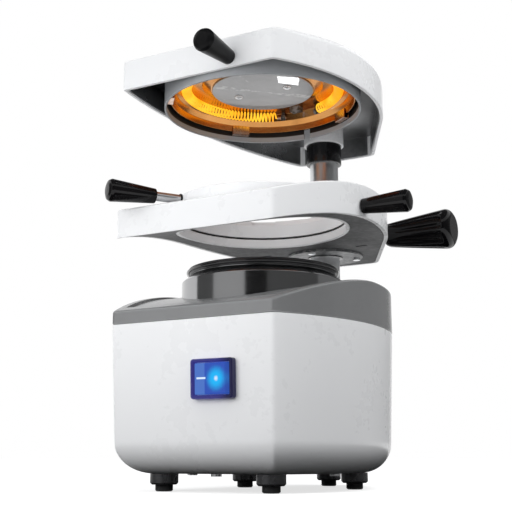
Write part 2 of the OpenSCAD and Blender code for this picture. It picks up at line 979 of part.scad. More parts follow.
module frame_underplate() {
    color(dark_grey)
        difference() {
            intersection() {
                block(frame_wall - frame_grow + fit, frame_z - span / 4, frame_top);
                below(frame_z + underplate_t, under_drop);
            }
            below(frame_z, under_drop);
            post(seat_tube_r + fit, 0, span);
            column_place()
                post(bush_r, 0, span);
            column_place()
                around(bush_screw_ring, [30, 150, 270])
                    post(2, 0, span);
            for (s = [-1, 1])
                translate([s * 40, column_y - 23, frame_z])
                    cube([8.5, 3, 20], center = true);
            translate([0, right_grip_y, right_grip_z])
                bar(grip_root_r + 1.2, flange_r, right_bulge);
            translate([0, column_y, lock_z])
                bar(lock_boss_r + fit, column_r, lock_root_x);
        }
}

module sheet_gasket() {
    color(black)
        tube(flange_r - 0.3, opening_r + 0.4, seat_z, seat_z + gasket_t);
}

module slide_bush() {
    color(black)
        column_place()
            difference() {
                union() {
                    post(bush_r, bush_low, bush_high);
                    post(bush_r + 2, frame_top, bush_high);
                }
                post(column_r + slide_clear, 0, span);
                translate([0, 0, lock_z])
                    bar(lock_screw_r + 0.2, 0, span);
            }
}

module bush_plate() {
    color(dark_grey)
        column_place()
            difference() {
                rotate_extrude($fn = 2 * round_fn)
                    polygon([
                        [bush_r + fit / 2, frame_z - bush_plate_t],
                        [bush_plate_r - 0.6, frame_z - bush_plate_t],
                        [bush_plate_r, frame_z - bush_plate_t + 0.6], [bush_plate_r, frame_z],
                        [bush_r + fit / 2, frame_z]
                    ]);
                around(bush_screw_ring, [30, 150, 270])
                    post(bush_screw_r + fit, 0, span);
            }
}

module bush_plate_screws() {
    color(steel)
        column_place()
            around(bush_screw_ring, [30, 150, 270])
                union() {
                    post(bush_screw_r, frame_z - bush_plate_t, frame_z + bush_screw_len);
                    post(bush_screw_head_r, frame_z - bush_plate_t - 1.2, frame_z - bush_plate_t);
                }
}

// Tapered grip along +X with its root at the origin, bored for its stem
module grip(bore) {
    difference() {
        rotate([0, 90, 0])
            rotate_extrude($fn = round_fn)
                polygon([
                    [0, 0], [grip_root_r - 0.6, 0], [grip_root_r, 0.6],
                    [grip_tip_r, grip_len - 3.2], [grip_tip_r - 0.5, grip_len - 1.4],
                    [grip_tip_r - 1.8, grip_len - 0.4], [grip_tip_r - 3.4, grip_len], [0, grip_len]
                ]);
        bar(bore, -1, grip_bite);
    }
}

module right_grip() {
    color(black)
        translate([right_wall_x + 0.1, right_grip_y, right_grip_z])
            grip(2.5);
}

module right_grip_stud() {
    color(steel)
        translate([0, right_grip_y, right_grip_z])
            bar(2.5, right_bulge - 7, right_wall_x + grip_bite - 1);
}

module lock_insert() {
    color(brass)
        translate([0, column_y, lock_z])
            difference() {
                bar(insert_r, bush_r + 3.4, lock_root_x - 5);
                bar(lock_screw_r + slide_clear, 0, span);
            }
}

module clamp_ring() {
    lug_r = flange_r + lug_reach;
    color(white)
        difference() {
            union() {
                tube(flange_r, opening_r, ring_z, ring_z + flange_t);
                tube(collar_r, opening_r, ring_z, collar_z);
                difference() {
                    union() {
                        for (a = lug_angles)
                            sector(lug_r, ring_z, ring_z + flange_t, a - lug_w / 2, a + lug_w / 2);
                    }
                    post(flange_r - 1, 0, span);
                }
            }
            handle_place()
                bar(stem_r, stem_in, 2 * flange_r);
        }
}

// Puts its child on the axis of the ring's handle, along +X
module handle_place() {
    translate([0, 0, handle_z])
        rotate(handle_angle)
            children();
}

module handle_stem() {
    color(steel)
        handle_place()
            union() {
                bar(stem_r, stem_in, grip_from + grip_bite - 1);
                bar(stem_r - 0.6, grip_from + grip_bite - 1, grip_from + grip_bite - 0.4);
            }
}

module left_grip() {
    color(black)
        handle_place()
            translate([grip_from, 0, 0])
                grip(stem_r);
}

// Fluted knob of the column lock, along +X
module lock_knob() {
    color(black)
        translate([lock_root_x, column_y, lock_z])
            difference() {
                rotate([0, 90, 0])
                    rotate_extrude($fn = 2 * round_fn)
                        polygon([
                            [0, 0], [knob_root_r - 0.8, 0], [knob_root_r, 0.8],
                            [knob_end_r - 0.2, knob_len - 8], [knob_end_r, knob_len - 6],
                            [knob_end_r - 0.9, knob_len - 3.4], [knob_end_r - 3.6, knob_len - 1.4],
                            [knob_end_r - 8, knob_len - 0.3], [0, knob_len]
                        ]);
                bar(lock_screw_r, -1, 24);
                for (a = [0 : 45 : 315])
                    rotate([a, 0, 0])
                        translate([8, 0, knob_root_r + 4.6])
                            rotate([0, 90 - atan((knob_end_r - knob_root_r) / knob_len), 0])
                                cylinder(r = 4.2, h = knob_len + 10, $fn = round_fn);
            }
}

module lock_screw() {
    color(steel)
        translate([0, column_y, lock_z])
            bar(lock_screw_r, column_r + 0.3 + pad_len, lock_root_x + 23);
}

module lock_pad() {
    color(white)
        translate([0, column_y, lock_z])
            bar(lock_screw_r - 0.2, column_r + 0.3, column_r + 0.3 + pad_len);
}

module head_shell() {
    color(white)
        difference() {
            union() {
                difference() {
                    intersection() {
                        block(0, head_z, head_top + 1);
                        below(head_top, head_drop);
                    }
                    intersection() {
                        block(head_wall, head_z - 1, head_top);
                        below(head_top - ceiling_t, head_drop);
                    }
                }
                column_place()
                    post(head_boss_r, boss_low, head_top - 1);
            }
            column_place()
                post(head_bush_r, 0, head_bush_high);
            column_place()
                post(pivot_screw_r + 0.4, 0, span);
            column_place()
                post(pivot_cap_r + fit, head_top - pivot_pocket, span);
            translate([head_grip_x, -front_d, head_grip_z])
                rotate([90, 0, 0])
                    cylinder(r = 2.5, h = 30, center = true, $fn = round_fn);
        }
}

module head_lining() {
    color("#26282a")
        difference() {
            block(lining_inset, head_z + 1, lining_top + 0.8);
            block(lining_inset + lining_t, head_z, lining_top);
            column_place()
                post(head_boss_r + fit, 0, span);
            for (s = [-1, 1])
                translate([s * centre_screw_x, 0, 0])
                    post(centre_screw_r + fit, 0, span);
        }
}

module heater_shroud() {
    slot_w = 5.4;
    color("#b4b6b8")
        difference() {
            tube(shroud_r, shroud_r - shroud_t, shroud_z, lining_top);
            rotate(88.4)
                translate([shroud_r, 0, shroud_z])
                    cube([10, slot_w, 15], center = true);
        }
}

module reflector() {
    color("#d8c2a0")
        difference() {
            rotate_extrude($fn = 2 * round_fn)
                polygon([
                    [0, disc_z], [centre_plate_r + 1, disc_z], [centre_plate_r + 7, groove_z - reflector_t],
                    [reflector_r - 7.4, groove_z - reflector_t], [reflector_r - 3.2, groove_z - 5],
                    [reflector_r - 1.4, groove_z - 9], [reflector_r - reflector_t, rim_z],
                    [reflector_r, rim_z], [reflector_r - 0.6, groove_z - 9],
                    [reflector_r - 2.4, groove_z - 4.6], [reflector_r - 7, groove_z],
                    [centre_plate_r + 6.4, groove_z], [centre_plate_r + 0.6, disc_z + reflector_t],
                    [0, disc_z + reflector_t]
                ]);
            for (s = [-1, 1])
                translate([s * centre_screw_x, 0, 0])
                    post(centre_screw_r + fit, 0, span);
            at_terminals()
                translate([lead_len + terminal_len + insulator_len / 2, 0, 0])
                    post(insulator_post_r + 0.4, -5, 12);
        }
}

// Bent tab at x = 0 of its ring: a foot under the rim, a leaf inside it and one against the shroud
module clip_form(inner) {
    foot = inner - reflector_r + 2.6;
    translate([-1.2, -clip_w / 2, rim_z - 1])
        cube([0.7, clip_w, 9]);
    translate([-foot, -clip_w / 2, rim_z - 1])
        cube([foot - 0.6, clip_w, 0.95]);
    translate([-foot, -clip_w / 2, rim_z - 1])
        cube([0.7, clip_w, 5]);
}

module reflector_clips() {
    inner = shroud_r - shroud_t;
    color(steel)
        around(inner, clip_angles)
            clip_form(inner);
}

// Centre of the coil's curl at angle a on its circle
function coil_mid(a) = [coil_path_r * cos(a), coil_path_r * sin(a), coil_z];

// Point on the wire's axis where t runs from 0 to 1 along the coil, at full curl radius
function coil_point(t) =
    let (a = coil_start + (coil_end - coil_start) * t, c = 360 * coil_curls * t)
        coil_mid(a) + coil_curl_r * [cos(c) * cos(a), cos(c) * sin(a), sin(c)];

coil_rings = coil_curls * 8;
wire_sides = 6;
lead_len = 2 * coil_wire_r;

// Direction of travel at the two ends of the coil
function along(a) = [-sin(a), cos(a), 0];

// Straight lead, then the curls, then a straight lead
coil_axis = concat(
    [coil_point(0) - along(coil_start) * lead_len],
    [for (i = [0 : coil_rings]) coil_point(i / coil_rings)],
    [coil_point(1) + along(coil_end) * lead_len]
);
coil_last = len(coil_axis) - 1;

function unit(v) = v / norm(v);

function coil_dir(i) =
    i == 0 ? along(coil_start) : i == coil_last ? along(coil_end) :
    unit(coil_axis[min(i + 1, coil_last)] - coil_axis[max(i - 1, 0)]);

// Mid point of the coil's circle nearest to axis point i, for the wire's frame
function coil_hub(i) =
    let (t = min(max((i - 1) / coil_rings, 0), 1))
        coil_mid(coil_start + (coil_end - coil_start) * t);

// Ring of points round axis point i
function wire_ring(i) =
    let (
        d = coil_dir(i),
        out = unit(coil_axis[i] - coil_hub(i)),
        side = unit(cross(d, out)),
        up = cross(side, d)
    )
        [for (k = [0 : wire_sides - 1])
            coil_axis[i] + coil_wire_r * (cos(360 * k / wire_sides) * up + sin(360 * k / wire_sides) * side)];

// Least distance between wire axes that lie a curl or nearly a curl apart, less the wire
coil_gap = min([for (i = [8 : 3 : coil_rings - 16]) for (j = [5 : 11])
    norm(coil_axis[i] - coil_axis[i + j])]) - 2 * coil_wire_r;
echo(coil_gap = coil_gap);

module heating_coil() {
    rings = [for (i = [0 : coil_last]) each wire_ring(i)];
    sides = [for (i = [0 : coil_last - 1]) for (k = [0 : wire_sides - 1])
        let (a = i * wire_sides + k, b = i * wire_sides + (k + 1) % wire_sides)
            each [[a, b, a + wire_sides], [b, b + wire_sides, a + wire_sides]]];
    low_cap = [for (k = [1 : wire_sides - 2]) [0, k + 1, k]];
    base = coil_last * wire_sides;
    high_cap = [for (k = [1 : wire_sides - 2]) [base, base + k, base + k + 1]];
    color("#ffb020")
        polyhedron(points = rings, faces = concat(sides, low_cap, high_cap));
}

// Places its child at the wire's end on each terminal, x outwards along the circle
module at_terminals() {
    for (e = [[coil_start, -1], [coil_end, 1]])
        translate([(coil_path_r + coil_curl_r) * cos(e[0]), (coil_path_r + coil_curl_r) * sin(e[0]), coil_z])
            rotate(e[0] + 90 * e[1])
                children();
}

module coil_terminals() {
    color(steel)
        at_terminals()
            union() {
                bar(terminal_r, lead_len, lead_len + terminal_len);
                bar(terminal_pin_r, lead_len + terminal_len, lead_len + terminal_len + insulator_len + 1);
            }
}

module terminal_insulators() {
    color(black)
        at_terminals()
            difference() {
                union() {
                    bar(insulator_r, lead_len + terminal_len, lead_len + terminal_len + insulator_len);
                    translate([lead_len + terminal_len + insulator_len / 2, 0, 0])
                        post(insulator_post_r, 0, lining_top - coil_z);
                }
                bar(terminal_pin_r + fit / 2, 0, lead_len + terminal_len + insulator_len + 2);
            }
}

module ceramic_block() {
    color("#e8e4dc")
        rotate(88)
            translate([coil_path_r - 4, 0, groove_z - reflector_t - 3.6])
                translate([-3, -4, 0])
                    cube([6, 8, 3.6]);
}

module centre_plate() {
    color(steel)
        difference() {
            rotate_extrude($fn = 2 * round_fn)
                polygon([
                    [0, disc_z - 1], [centre_plate_r - 0.4, disc_z - 1],
                    [centre_plate_r, disc_z - 0.6], [centre_plate_r, disc_z], [0, disc_z]
                ]);
            for (s = [-1, 1])
                translate([s * centre_screw_x, 0, 0])
                    post(centre_screw_r + fit, 0, span);
        }
}

module centre_screws() {
    color(steel)
        for (s = [-1, 1])
            translate([s * centre_screw_x, 0, 0])
                difference() {
                    union() {
                        post(centre_screw_r, disc_z - 1, lining_top + 0.8);
                        post(centre_screw_head_r, disc_z - 2.6, disc_z - 1);
                    }
                    translate([-2, -0.4, disc_z - 3])
                        cube([4, 0.8, 1]);
                }
}

module head_bush() {
    color(black)
        column_place()
            difference() {
                post(head_bush_r, head_bush_low, head_bush_high);
                post(column_r + slide_clear, 0, span);
            }
}

module pivot_cap() {
    color(white)
        column_place()
            difference() {
                post(pivot_cap_r, head_top - pivot_pocket, head_top);
                post(pivot_head_r + 0.5, head_top - pivot_pocket - 1, head_top - 1.4);
            }
}

module head_grip() {
    color(black)
        translate([head_grip_x, -front_d, head_grip_z])
            rotate(-90)
                grip(2.5);
}

module head_grip_stud() {
    color(steel)
        translate([head_grip_x, -front_d, head_grip_z])
            rotate(-90)
                bar(2.5, -head_wall, grip_bite - 1);
}

body_shell();
top_cover();
floor_plate();
floor_screws();
feet();
foot_tips();
foot_screws();
switch_housing();
switch_rocker();
mains_inlet();
fuse_holder();
motor_can();
fan_housing();
motor_seal();
motor_pad();
impeller();
motor_shaft();
vacuum_chamber();
chamber_screws();
platform();
perforated_plate();
platform_gasket();
column_socket();
socket_screws();
column();
column_plug();
pivot_screw();
frame_shell();
frame_underplate();
sheet_gasket();
slide_bush();
bush_plate();
bush_plate_screws();
right_grip();
right_grip_stud();
lock_insert();
clamp_ring();
handle_stem();
left_grip();
lock_knob();
lock_screw();
lock_pad();
head_shell();
head_lining();
heater_shroud();
reflector();
reflector_clips();
heating_coil();
coil_terminals();
terminal_insulators();
ceramic_block();
centre_plate();
centre_screws();
head_bush();
pivot_cap();
head_grip();
head_grip_stud();
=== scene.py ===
"""Looks of a bench-top dental vacuum former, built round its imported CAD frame.

The shapes are given in millimetres in the CAD frame: the origin lies on the axis of the vacuum
chamber at floor level, +X points to the user's right and +Y to the back. Meshes are turned into
metres once, when an object is made. Finishes, cards and the studio are given in metres.
"""

import enum
import json
import logging
import math
from collections.abc import Callable, Iterable, Sequence
from dataclasses import dataclass, field
from typing import ClassVar

import bmesh
import bpy
import numpy as np
from mathutils import Matrix, Vector

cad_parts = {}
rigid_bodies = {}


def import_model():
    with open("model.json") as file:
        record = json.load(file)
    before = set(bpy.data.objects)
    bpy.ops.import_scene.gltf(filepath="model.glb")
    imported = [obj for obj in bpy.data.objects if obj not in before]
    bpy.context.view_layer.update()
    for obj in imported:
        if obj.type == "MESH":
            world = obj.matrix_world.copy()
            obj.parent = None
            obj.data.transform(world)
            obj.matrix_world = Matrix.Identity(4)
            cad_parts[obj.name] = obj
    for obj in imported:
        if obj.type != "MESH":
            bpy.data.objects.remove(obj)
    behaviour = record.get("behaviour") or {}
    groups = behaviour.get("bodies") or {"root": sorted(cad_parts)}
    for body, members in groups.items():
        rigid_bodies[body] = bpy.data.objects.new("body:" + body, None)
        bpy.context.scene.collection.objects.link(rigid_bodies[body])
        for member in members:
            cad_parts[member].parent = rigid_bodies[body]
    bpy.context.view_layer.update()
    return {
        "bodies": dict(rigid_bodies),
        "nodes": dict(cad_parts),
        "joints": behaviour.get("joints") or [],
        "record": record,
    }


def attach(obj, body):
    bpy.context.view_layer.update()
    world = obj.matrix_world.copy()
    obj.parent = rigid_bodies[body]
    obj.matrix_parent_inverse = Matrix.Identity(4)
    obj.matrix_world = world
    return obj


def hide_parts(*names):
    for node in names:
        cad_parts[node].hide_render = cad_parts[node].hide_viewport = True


LOG = logging.getLogger("vacuum_former")
MM = 0.001
COLUMN_Y = 102.4  # distance of the column behind the chamber axis
DRAFT = 2.1  # lean of the base's walls in degrees
LUGS = (30.0, 90.0, 150.0)  # directions of the bayonet lugs in degrees
SHARP = 34.0  # angle in degrees above which an edge stays sharp
MIDDLE = (0.0, 0.03, 0.0)  # middle of the object on the floor, in metres
Colour = tuple[float, float, float]
Triple = tuple[float, float, float]
Points = np.ndarray
Height = Callable[[Points, Points], Points] | float
Link = bpy.types.NodeSocket


class Body(enum.Enum):
    """Bodies of the CAD model that the scene's own pieces ride on."""

    BASE = "base"
    ROCKER = "rocker"
    CARRIAGE = "carriage"
    CLAMP = "clamp"
    LOCK = "lock"
    HEAD = "head"


class Pattern(enum.Enum):
    """Which fine structure a finish carries."""

    GRAIN = "fine_grain"
    TURNED = "turned_lines"
    DRAWN = "drawn_lines"


# Shared shader effects


@dataclass
class NodeDesk:
    """Lays out shader nodes in one tree.

    Attributes:
        tree: The node tree being filled.
        step: How many nodes have been placed, which sets the next node's place.
        across: How many nodes stand side by side.
    """

    tree: bpy.types.NodeTree
    step: int = 0
    across: int = 8

    def node(self, kind: str, **values: object) -> bpy.types.Node:
        """Adds a node.

        Args:
            kind: Blender's name of the node type.
            **values: Attributes of the node, such as operation.

        Returns:
            The new node.
        """
        made = self.tree.nodes.new(kind)
        down, right = divmod(self.step, self.across)
        made.location = (220 * right, -260 * down)
        self.step += 1
        for key, value in values.items():
            setattr(made, key, value)
        return made

    def wire(self, source: Link, target: Link) -> None:
        """Links two sockets."""
        self.tree.links.new(source, target)

    def feed(self, target: Link, value: object) -> None:
        """Links a socket, or sets it where the value is a plain number or colour."""
        if isinstance(value, bpy.types.NodeSocket):
            self.wire(value, target)
        else:
            target.default_value = value

    def where(self) -> Link:
        """Place on the object, in metres."""
        return self.node("ShaderNodeTexCoord").outputs["Object"]

    def axes(self, vector: Link) -> bpy.types.NodeOutputs:
        """Splits a vector into outputs named X, Y and Z."""
        parts = self.node("ShaderNodeSeparateXYZ")
        self.wire(vector, parts.inputs[0])
        return parts.outputs

    def math(self, operation: str, a: object, b: object = 0.0, clamp: bool = False) -> Link:
        """Adds a Math node.

        Args:
            operation: Blender's name of the operation.
            a: First operand, a socket or a number.
            b: Second operand, a socket or a number.
            clamp: Whether the result is held between 0 and 1.

        Returns:
            The node's output.
        """
        made = self.node("ShaderNodeMath", operation=operation, use_clamp=clamp)
        self.feed(made.inputs[0], a)
        self.feed(made.inputs[1], b)
        return made.outputs[0]

    def times(self, a: object, b: object, clamp: bool = False) -> Link:
        """Multiplies two values."""
        return self.math("MULTIPLY", a, b, clamp)

    def length(self, a: Link, b: Link) -> Link:
        """Length of the flat vector (a, b)."""
        return self.math("SQRT", self.math("ADD", self.times(a, a), self.times(b, b)))

    def spread(self, value: Link, low: float, high: float, to_low: float = 0.0,
               to_high: float = 1.0) -> Link:
        """Maps a range of a value smoothly onto another range.

        Args:
            value: The value.
            low: Start of its range.
            high: End of its range.
            to_low: Result at the start.
            to_high: Result at the end.

        Returns:
            The mapped value.
        """
        made = self.node("ShaderNodeMapRange", interpolation_type="SMOOTHSTEP")
        self.wire(value, made.inputs["Value"])
        for key, number in zip(("From Min", "From Max", "To Min", "To Max"),
                               (low, high, to_low, to_high)):
            made.inputs[key].default_value = number
        return made.outputs["Result"]

    def mix(self, factor: object, a: object, b: object) -> Link:
        """Mixes two colours, each a socket or a triple, by a factor."""
        made = self.node("ShaderNodeMix", data_type="RGBA")
        for place, value in ((0, factor), (6, a), (7, b)):
            self.feed(made.inputs[place], (*value, 1.0) if isinstance(value, tuple) else value)
        return made.outputs[2]

    def noise(self, vector: Link, scale: object, detail: float = 3.0, rough: float = 0.55) -> Link:
        """Adds a noise texture.

        Args:
            vector: Coordinates it reads.
            scale: Noise scale, a socket or a number.
            detail: Number of octaves.
            rough: Weight of the finer octaves.

        Returns:
            The noise value.
        """
        made = self.node("ShaderNodeTexNoise")
        self.wire(vector, made.inputs["Vector"])
        self.feed(made.inputs["Scale"], scale)
        made.inputs["Detail"].default_value = detail
        made.inputs["Roughness"].default_value = rough
        return made.outputs["Fac"]


@dataclass
class Effects:
    """Shader node groups that several finishes share, each built once.

    Attributes:
        made: The groups by name.
    """

    made: dict[str, bpy.types.NodeTree] = field(default_factory=dict)

    def _start(self, name: str, inputs: dict[str, float], outputs: Iterable[str]) -> tuple:
        """Opens a new group.

        Args:
            name: The group's name.
            inputs: Input names with their default values.
            outputs: Output names.

        Returns:
            The desk, the group's input node and its output node.
        """
        tree = bpy.data.node_groups.new(name, "ShaderNodeTree")
        for key, value in inputs.items():
            socket = tree.interface.new_socket(key, in_out="INPUT", socket_type="NodeSocketFloat")
            socket.default_value = value
        for key in outputs:
            tree.interface.new_socket(key, in_out="OUTPUT", socket_type="NodeSocketFloat")
        desk = NodeDesk(tree)
        self.made[name] = tree
        return desk, desk.node("NodeGroupInput"), desk.node("NodeGroupOutput")

    @staticmethod
    def _texture(desk: NodeDesk, out: bpy.types.Node, height: Link, cloud: Link) -> None:
        """Ends a texture group with its relief and its slow clouds."""
        desk.wire(height, out.inputs["Height"])
        desk.wire(desk.spread(cloud, 0.3, 0.7), out.inputs["Cloud"])

    def _mask(self, name: str, amount: float, first: Callable[[NodeDesk], Link], scale: float,
              detail: tuple[float, float], span: tuple[float, float]) -> None:
        """Builds a mask group that noise breaks up.

        Args:
            name: The group's name.
            amount: Default strength.
            first: Draws the unbroken mask.
            scale: Scale of the noise.
            detail: Octaves of the noise and weight of the finer ones.
            span: Range of the noise over which the mask sets in.
        """
        desk, got, out = self._start(name, {"Amount": amount}, ("Mask",))
        broken = desk.spread(desk.noise(desk.where(), scale, *detail), *span)
        both = desk.times(first(desk), broken)
        desk.wire(desk.times(both, got.outputs["Amount"], clamp=True), out.inputs["Mask"])

    def fine_grain(self) -> None:
        """Moulding grain or the ripple of sprayed paint, the same in all directions."""
        desk, got, out = self._start("fine_grain", {"Scale": 900.0}, ("Height", "Cloud"))
        where, scale = desk.where(), got.outputs["Scale"]
        self._texture(desk, out, desk.noise(where, scale, 4.0, 0.6),
                      desk.noise(where, desk.times(scale, 0.045)))

    def turned_lines(self) -> None:
        """Concentric tool marks round the upright axis at Centre X, Centre Y."""
        desk, got, out = self._start(
            "turned_lines", {"Scale": 900.0, "Centre X": 0.0, "Centre Y": 0.0}, ("Height", "Cloud"))
        where = desk.where()
        parts = desk.axes(where)
        x, y = (desk.math("SUBTRACT", parts[axis], got.outputs[f"Centre {axis}"])
                for axis in ("X", "Y"))
        flat = desk.node("ShaderNodeCombineXYZ")
        desk.wire(desk.length(x, y), flat.inputs["X"])
        desk.wire(parts["Z"], flat.inputs["Z"])
        self._texture(desk, out, desk.noise(flat.outputs[0], got.outputs["Scale"], 5.0, 0.7),
                      desk.noise(where, 38.0, 2.0))

    def drawn_lines(self) -> None:
        """Straight rolling marks along Y, as on sheet metal."""
        desk, got, out = self._start("drawn_lines", {"Scale": 900.0}, ("Height", "Cloud"))
        where = desk.where()
        squeeze = desk.node("ShaderNodeMapping")
        squeeze.inputs["Scale"].default_value = (1.0, 0.04, 1.0)
        desk.wire(where, squeeze.inputs["Vector"])
        self._texture(desk, out, desk.noise(squeeze.outputs[0], got.outputs["Scale"], 4.0, 0.65),
                      desk.noise(where, 30.0, 2.0))

    def edge_wear(self) -> None:
        """Mask of the edges that hands and cloths rub."""
        self._mask("edge_wear", 0.5, lambda desk: desk.spread(
            desk.node("ShaderNodeNewGeometry").outputs["Pointiness"], 0.515, 0.60),
            260.0, (3.0, 0.55), (0.42, 0.66))

    def settled_dust(self) -> None:
        """Mask of the fine dust that lies on faces that look up."""
        self._mask("settled_dust", 0.2, lambda desk: desk.spread(
            desk.axes(desk.node("ShaderNodeNewGeometry").outputs["Normal"])["Z"], 0.55, 1.0),
            420.0, (6.0, 0.75), (0.45, 0.75))

    def smudges(self) -> None:
        """Slow change of gloss from handling and wiping."""
        desk, got, out = self._start("smudges", {"Low": 0.25, "High": 0.35}, ("Rough",))
        where = desk.where()
        broad, fine = desk.noise(where, 26.0, 4.0, 0.6), desk.noise(where, 170.0, 3.0, 0.6)
        both = desk.math("ADD", desk.times(broad, 0.7), desk.times(fine, 0.3))
        low, high = got.outputs["Low"], got.outputs["High"]
        change = desk.times(desk.spread(both, 0.35, 0.65), desk.math("SUBTRACT", high, low))
        desk.wire(desk.math("ADD", low, change), out.inputs["Rough"])

    def build(self) -> "Effects":
        """Builds all groups."""
        for make in (self.fine_grain, self.turned_lines, self.drawn_lines, self.edge_wear,
                     self.settled_dust, self.smudges):
            make()
        return self

    def place(self, desk: NodeDesk, name: str, **values: float) -> bpy.types.Node:
        """Puts a group into a material.

        Args:
            desk: The material's desk.
            name: Name of the group.
            **values: Input values, with underscores for spaces in their names.

        Returns:
            The group's node.
        """
        made = desk.node("ShaderNodeGroup")
        made.node_tree = self.made[name]
        for key, value in values.items():
            made.inputs[key.replace("_", " ")].default_value = value
        return made


# Finishes


@dataclass(frozen=True)
class Finish:
    """A painted, moulded or metal surface.

    Attributes:
        name: Name of the material.
        colour: Main linear colour.
        second: Colour that the slow clouds drift towards.
        metallic: 1 for bare metal.
        rough: Lowest and highest roughness.
        pattern: Fine structure of the surface.
        scale: Scale of the fine structure.
        bump: Strength of the fine structure's relief.
        depth: Depth of the relief in metres.
        coat: Weight of a clear coat.
        coat_rough: Roughness of the clear coat.
        worn: Colour that rubbed edges show.
        wear: How far edges are rubbed.
        dust: How much dust lies on top.
        dusty: Colour of the dust.
        dull: How much rougher the dust is.
        centre_y: Distance of the turned lines' axis behind the chamber axis.
        ior: Index of refraction.
    """

    name: str
    colour: Colour
    second: Colour
    metallic: float = 0.0
    rough: tuple[float, float] = (0.3, 0.4)
    pattern: Pattern = Pattern.GRAIN
    scale: float = 900.0
    bump: float = 0.1
    depth: float = 0.0001
    coat: float = 0.0
    coat_rough: float = 0.08
    worn: Colour = (0.9, 0.9, 0.9)
    wear: float = 0.2
    dust: float = 0.0
    dusty: Colour = (0.62, 0.6, 0.57)
    dull: float = 0.5
    centre_y: float = 0.0
    ior: float = 1.47

    def dress(self, desk: NodeDesk, shader: bpy.types.Node) -> None:
        """Adds what only this finish has; plain surfaces add nothing."""

    def build(self, effects: Effects) -> bpy.types.Material:
        """Makes the material.

        Args:
            effects: The shared node groups.

        Returns:
            The finished material.
        """
        material = bpy.data.materials.new(self.name)
        material.use_nodes = True
        desk = NodeDesk(material.node_tree)
        shader = material.node_tree.nodes["Principled BSDF"]
        fine = effects.place(desk, self.pattern.value, Scale=self.scale)
        if self.pattern is Pattern.TURNED:
            fine.inputs["Centre Y"].default_value = self.centre_y
        wear = effects.place(desk, "edge_wear", Amount=self.wear).outputs["Mask"]
        dust = effects.place(desk, "settled_dust", Amount=self.dust).outputs["Mask"]
        gloss = effects.place(desk, "smudges", Low=self.rough[0], High=self.rough[1])
        base = desk.mix(fine.outputs["Cloud"], self.colour, self.second)
        base = desk.mix(dust, desk.mix(wear, base, self.worn), self.dusty)
        desk.wire(base, shader.inputs["Base Color"])
        rough = desk.math("ADD", gloss.outputs["Rough"], desk.times(dust, self.dull), clamp=True)
        desk.wire(rough, shader.inputs["Roughness"])
        relief = desk.node("ShaderNodeBump")
        relief.inputs["Strength"].default_value = self.bump
        relief.inputs["Distance"].default_value = self.depth
        desk.wire(fine.outputs["Height"], relief.inputs["Height"])
        desk.wire(relief.outputs["Normal"], shader.inputs["Normal"])
        for key, value in (("Metallic", self.metallic), ("IOR", self.ior),
                           ("Coat Weight", self.coat), ("Coat Roughness", self.coat_rough)):
            shader.inputs[key].default_value = value
        self.dress(desk, shader)
        return material


def paint_black_shade(desk: NodeDesk, shader: bpy.types.Node, share: Link, black: Colour) -> None:
    """Mixes a painted black shade over the base colour that a shader already has."""
    before = shader.inputs["Base Color"].links[0].from_socket
    desk.wire(desk.mix(share, before, black), shader.inputs["Base Color"])


@dataclass(frozen=True)
class GlowingWire(Finish):
    """Resistance wire that glows, hotter in some stretches than in others.

    Attributes:
        cool: Light of the cooler stretches.
        hot: Light of the hotter stretches.
        power: Strength of the light.
        patches: Scale of the stretches.
        change: Range of the noise over which cool turns to hot.
        near: Distances in metres over which its light on other pieces fades.
        rest: Share of the light that is left beyond them.
    """

    cool: Colour = (1.0, 0.36, 0.006)
    hot: Colour = (1.0, 0.60, 0.03)
    power: float = 1.1
    patches: float = 32.0
    change: tuple[float, float] = (0.36, 0.62)
    near: tuple[float, float] = (0.012, 0.055)
    rest: float = 0.02

    def dress(self, desk: NodeDesk, shader: bpy.types.Node) -> None:
        """Adds the light, full for the camera and for surfaces near the wire alone."""
        patch = desk.spread(desk.noise(desk.where(), self.patches, 2.0), *self.change)
        desk.wire(desk.mix(patch, self.cool, self.hot), shader.inputs["Emission Color"])
        path = desk.node("ShaderNodeLightPath").outputs
        lit = desk.spread(path["Ray Length"], *self.near, self.power, self.rest * self.power)
        seen = desk.times(path["Is Camera Ray"], self.power)
        desk.wire(desk.math("MAXIMUM", lit, seen), shader.inputs["Emission Strength"])


@dataclass(frozen=True)
class LiningWithPaintedShade(Finish):
    """Grey lining whose dark grey is partly painted shade, and which turns to a painted matt black
    shade towards its right side.

    Attributes:
        black: Colour of the painted shade on the right side.
        fade: Where the painted black shade begins and where it is full, in metres across.
    """

    black: Colour = (0.006, 0.006, 0.007)
    fade: tuple[float, float] = (0.022, 0.05)

    def dress(self, desk: NodeDesk, shader: bpy.types.Node) -> None:
        """Paints black shade over the right side."""
        # painted shade: the lining's right side is darkened to stand in for the shade inside the
        # head
        share = desk.spread(desk.axes(desk.where())["X"], *self.fade)
        paint_black_shade(desk, shader, share, self.black)


@dataclass(frozen=True)
class RingWithPaintedShade(Finish):
    """Grey ring whose inner side carries a painted black shade above its lower band, where the gap
    behind the dish lies in shade.

    Attributes:
        black: Colour of the painted shade on the inner side.
        level: Height of the lower edge of the painted shade, in metres.
        reach: Radius inside which the painted shade lies, in metres.
        soft: Widths over which the painted shade sets in, across and up.
    """

    black: Colour = (0.004, 0.004, 0.004)
    level: float = 0.2645
    reach: float = 0.0686
    soft: tuple[float, float] = (0.0002, 0.0003)

    def dress(self, desk: NodeDesk, shader: bpy.types.Node) -> None:
        """Paints black shade over the inner side."""
        parts = desk.axes(desk.where())
        span = desk.length(parts["X"], parts["Y"])
        inner = desk.spread(span, self.reach - self.soft[0], self.reach, 1.0, 0.0)
        above = desk.spread(parts["Z"], self.level - self.soft[1], self.level)
        # painted shade: the inner side above the lower band is darkened where the gap behind the
        # dish lies in shade
        paint_black_shade(desk, shader, desk.times(inner, above), self.black)


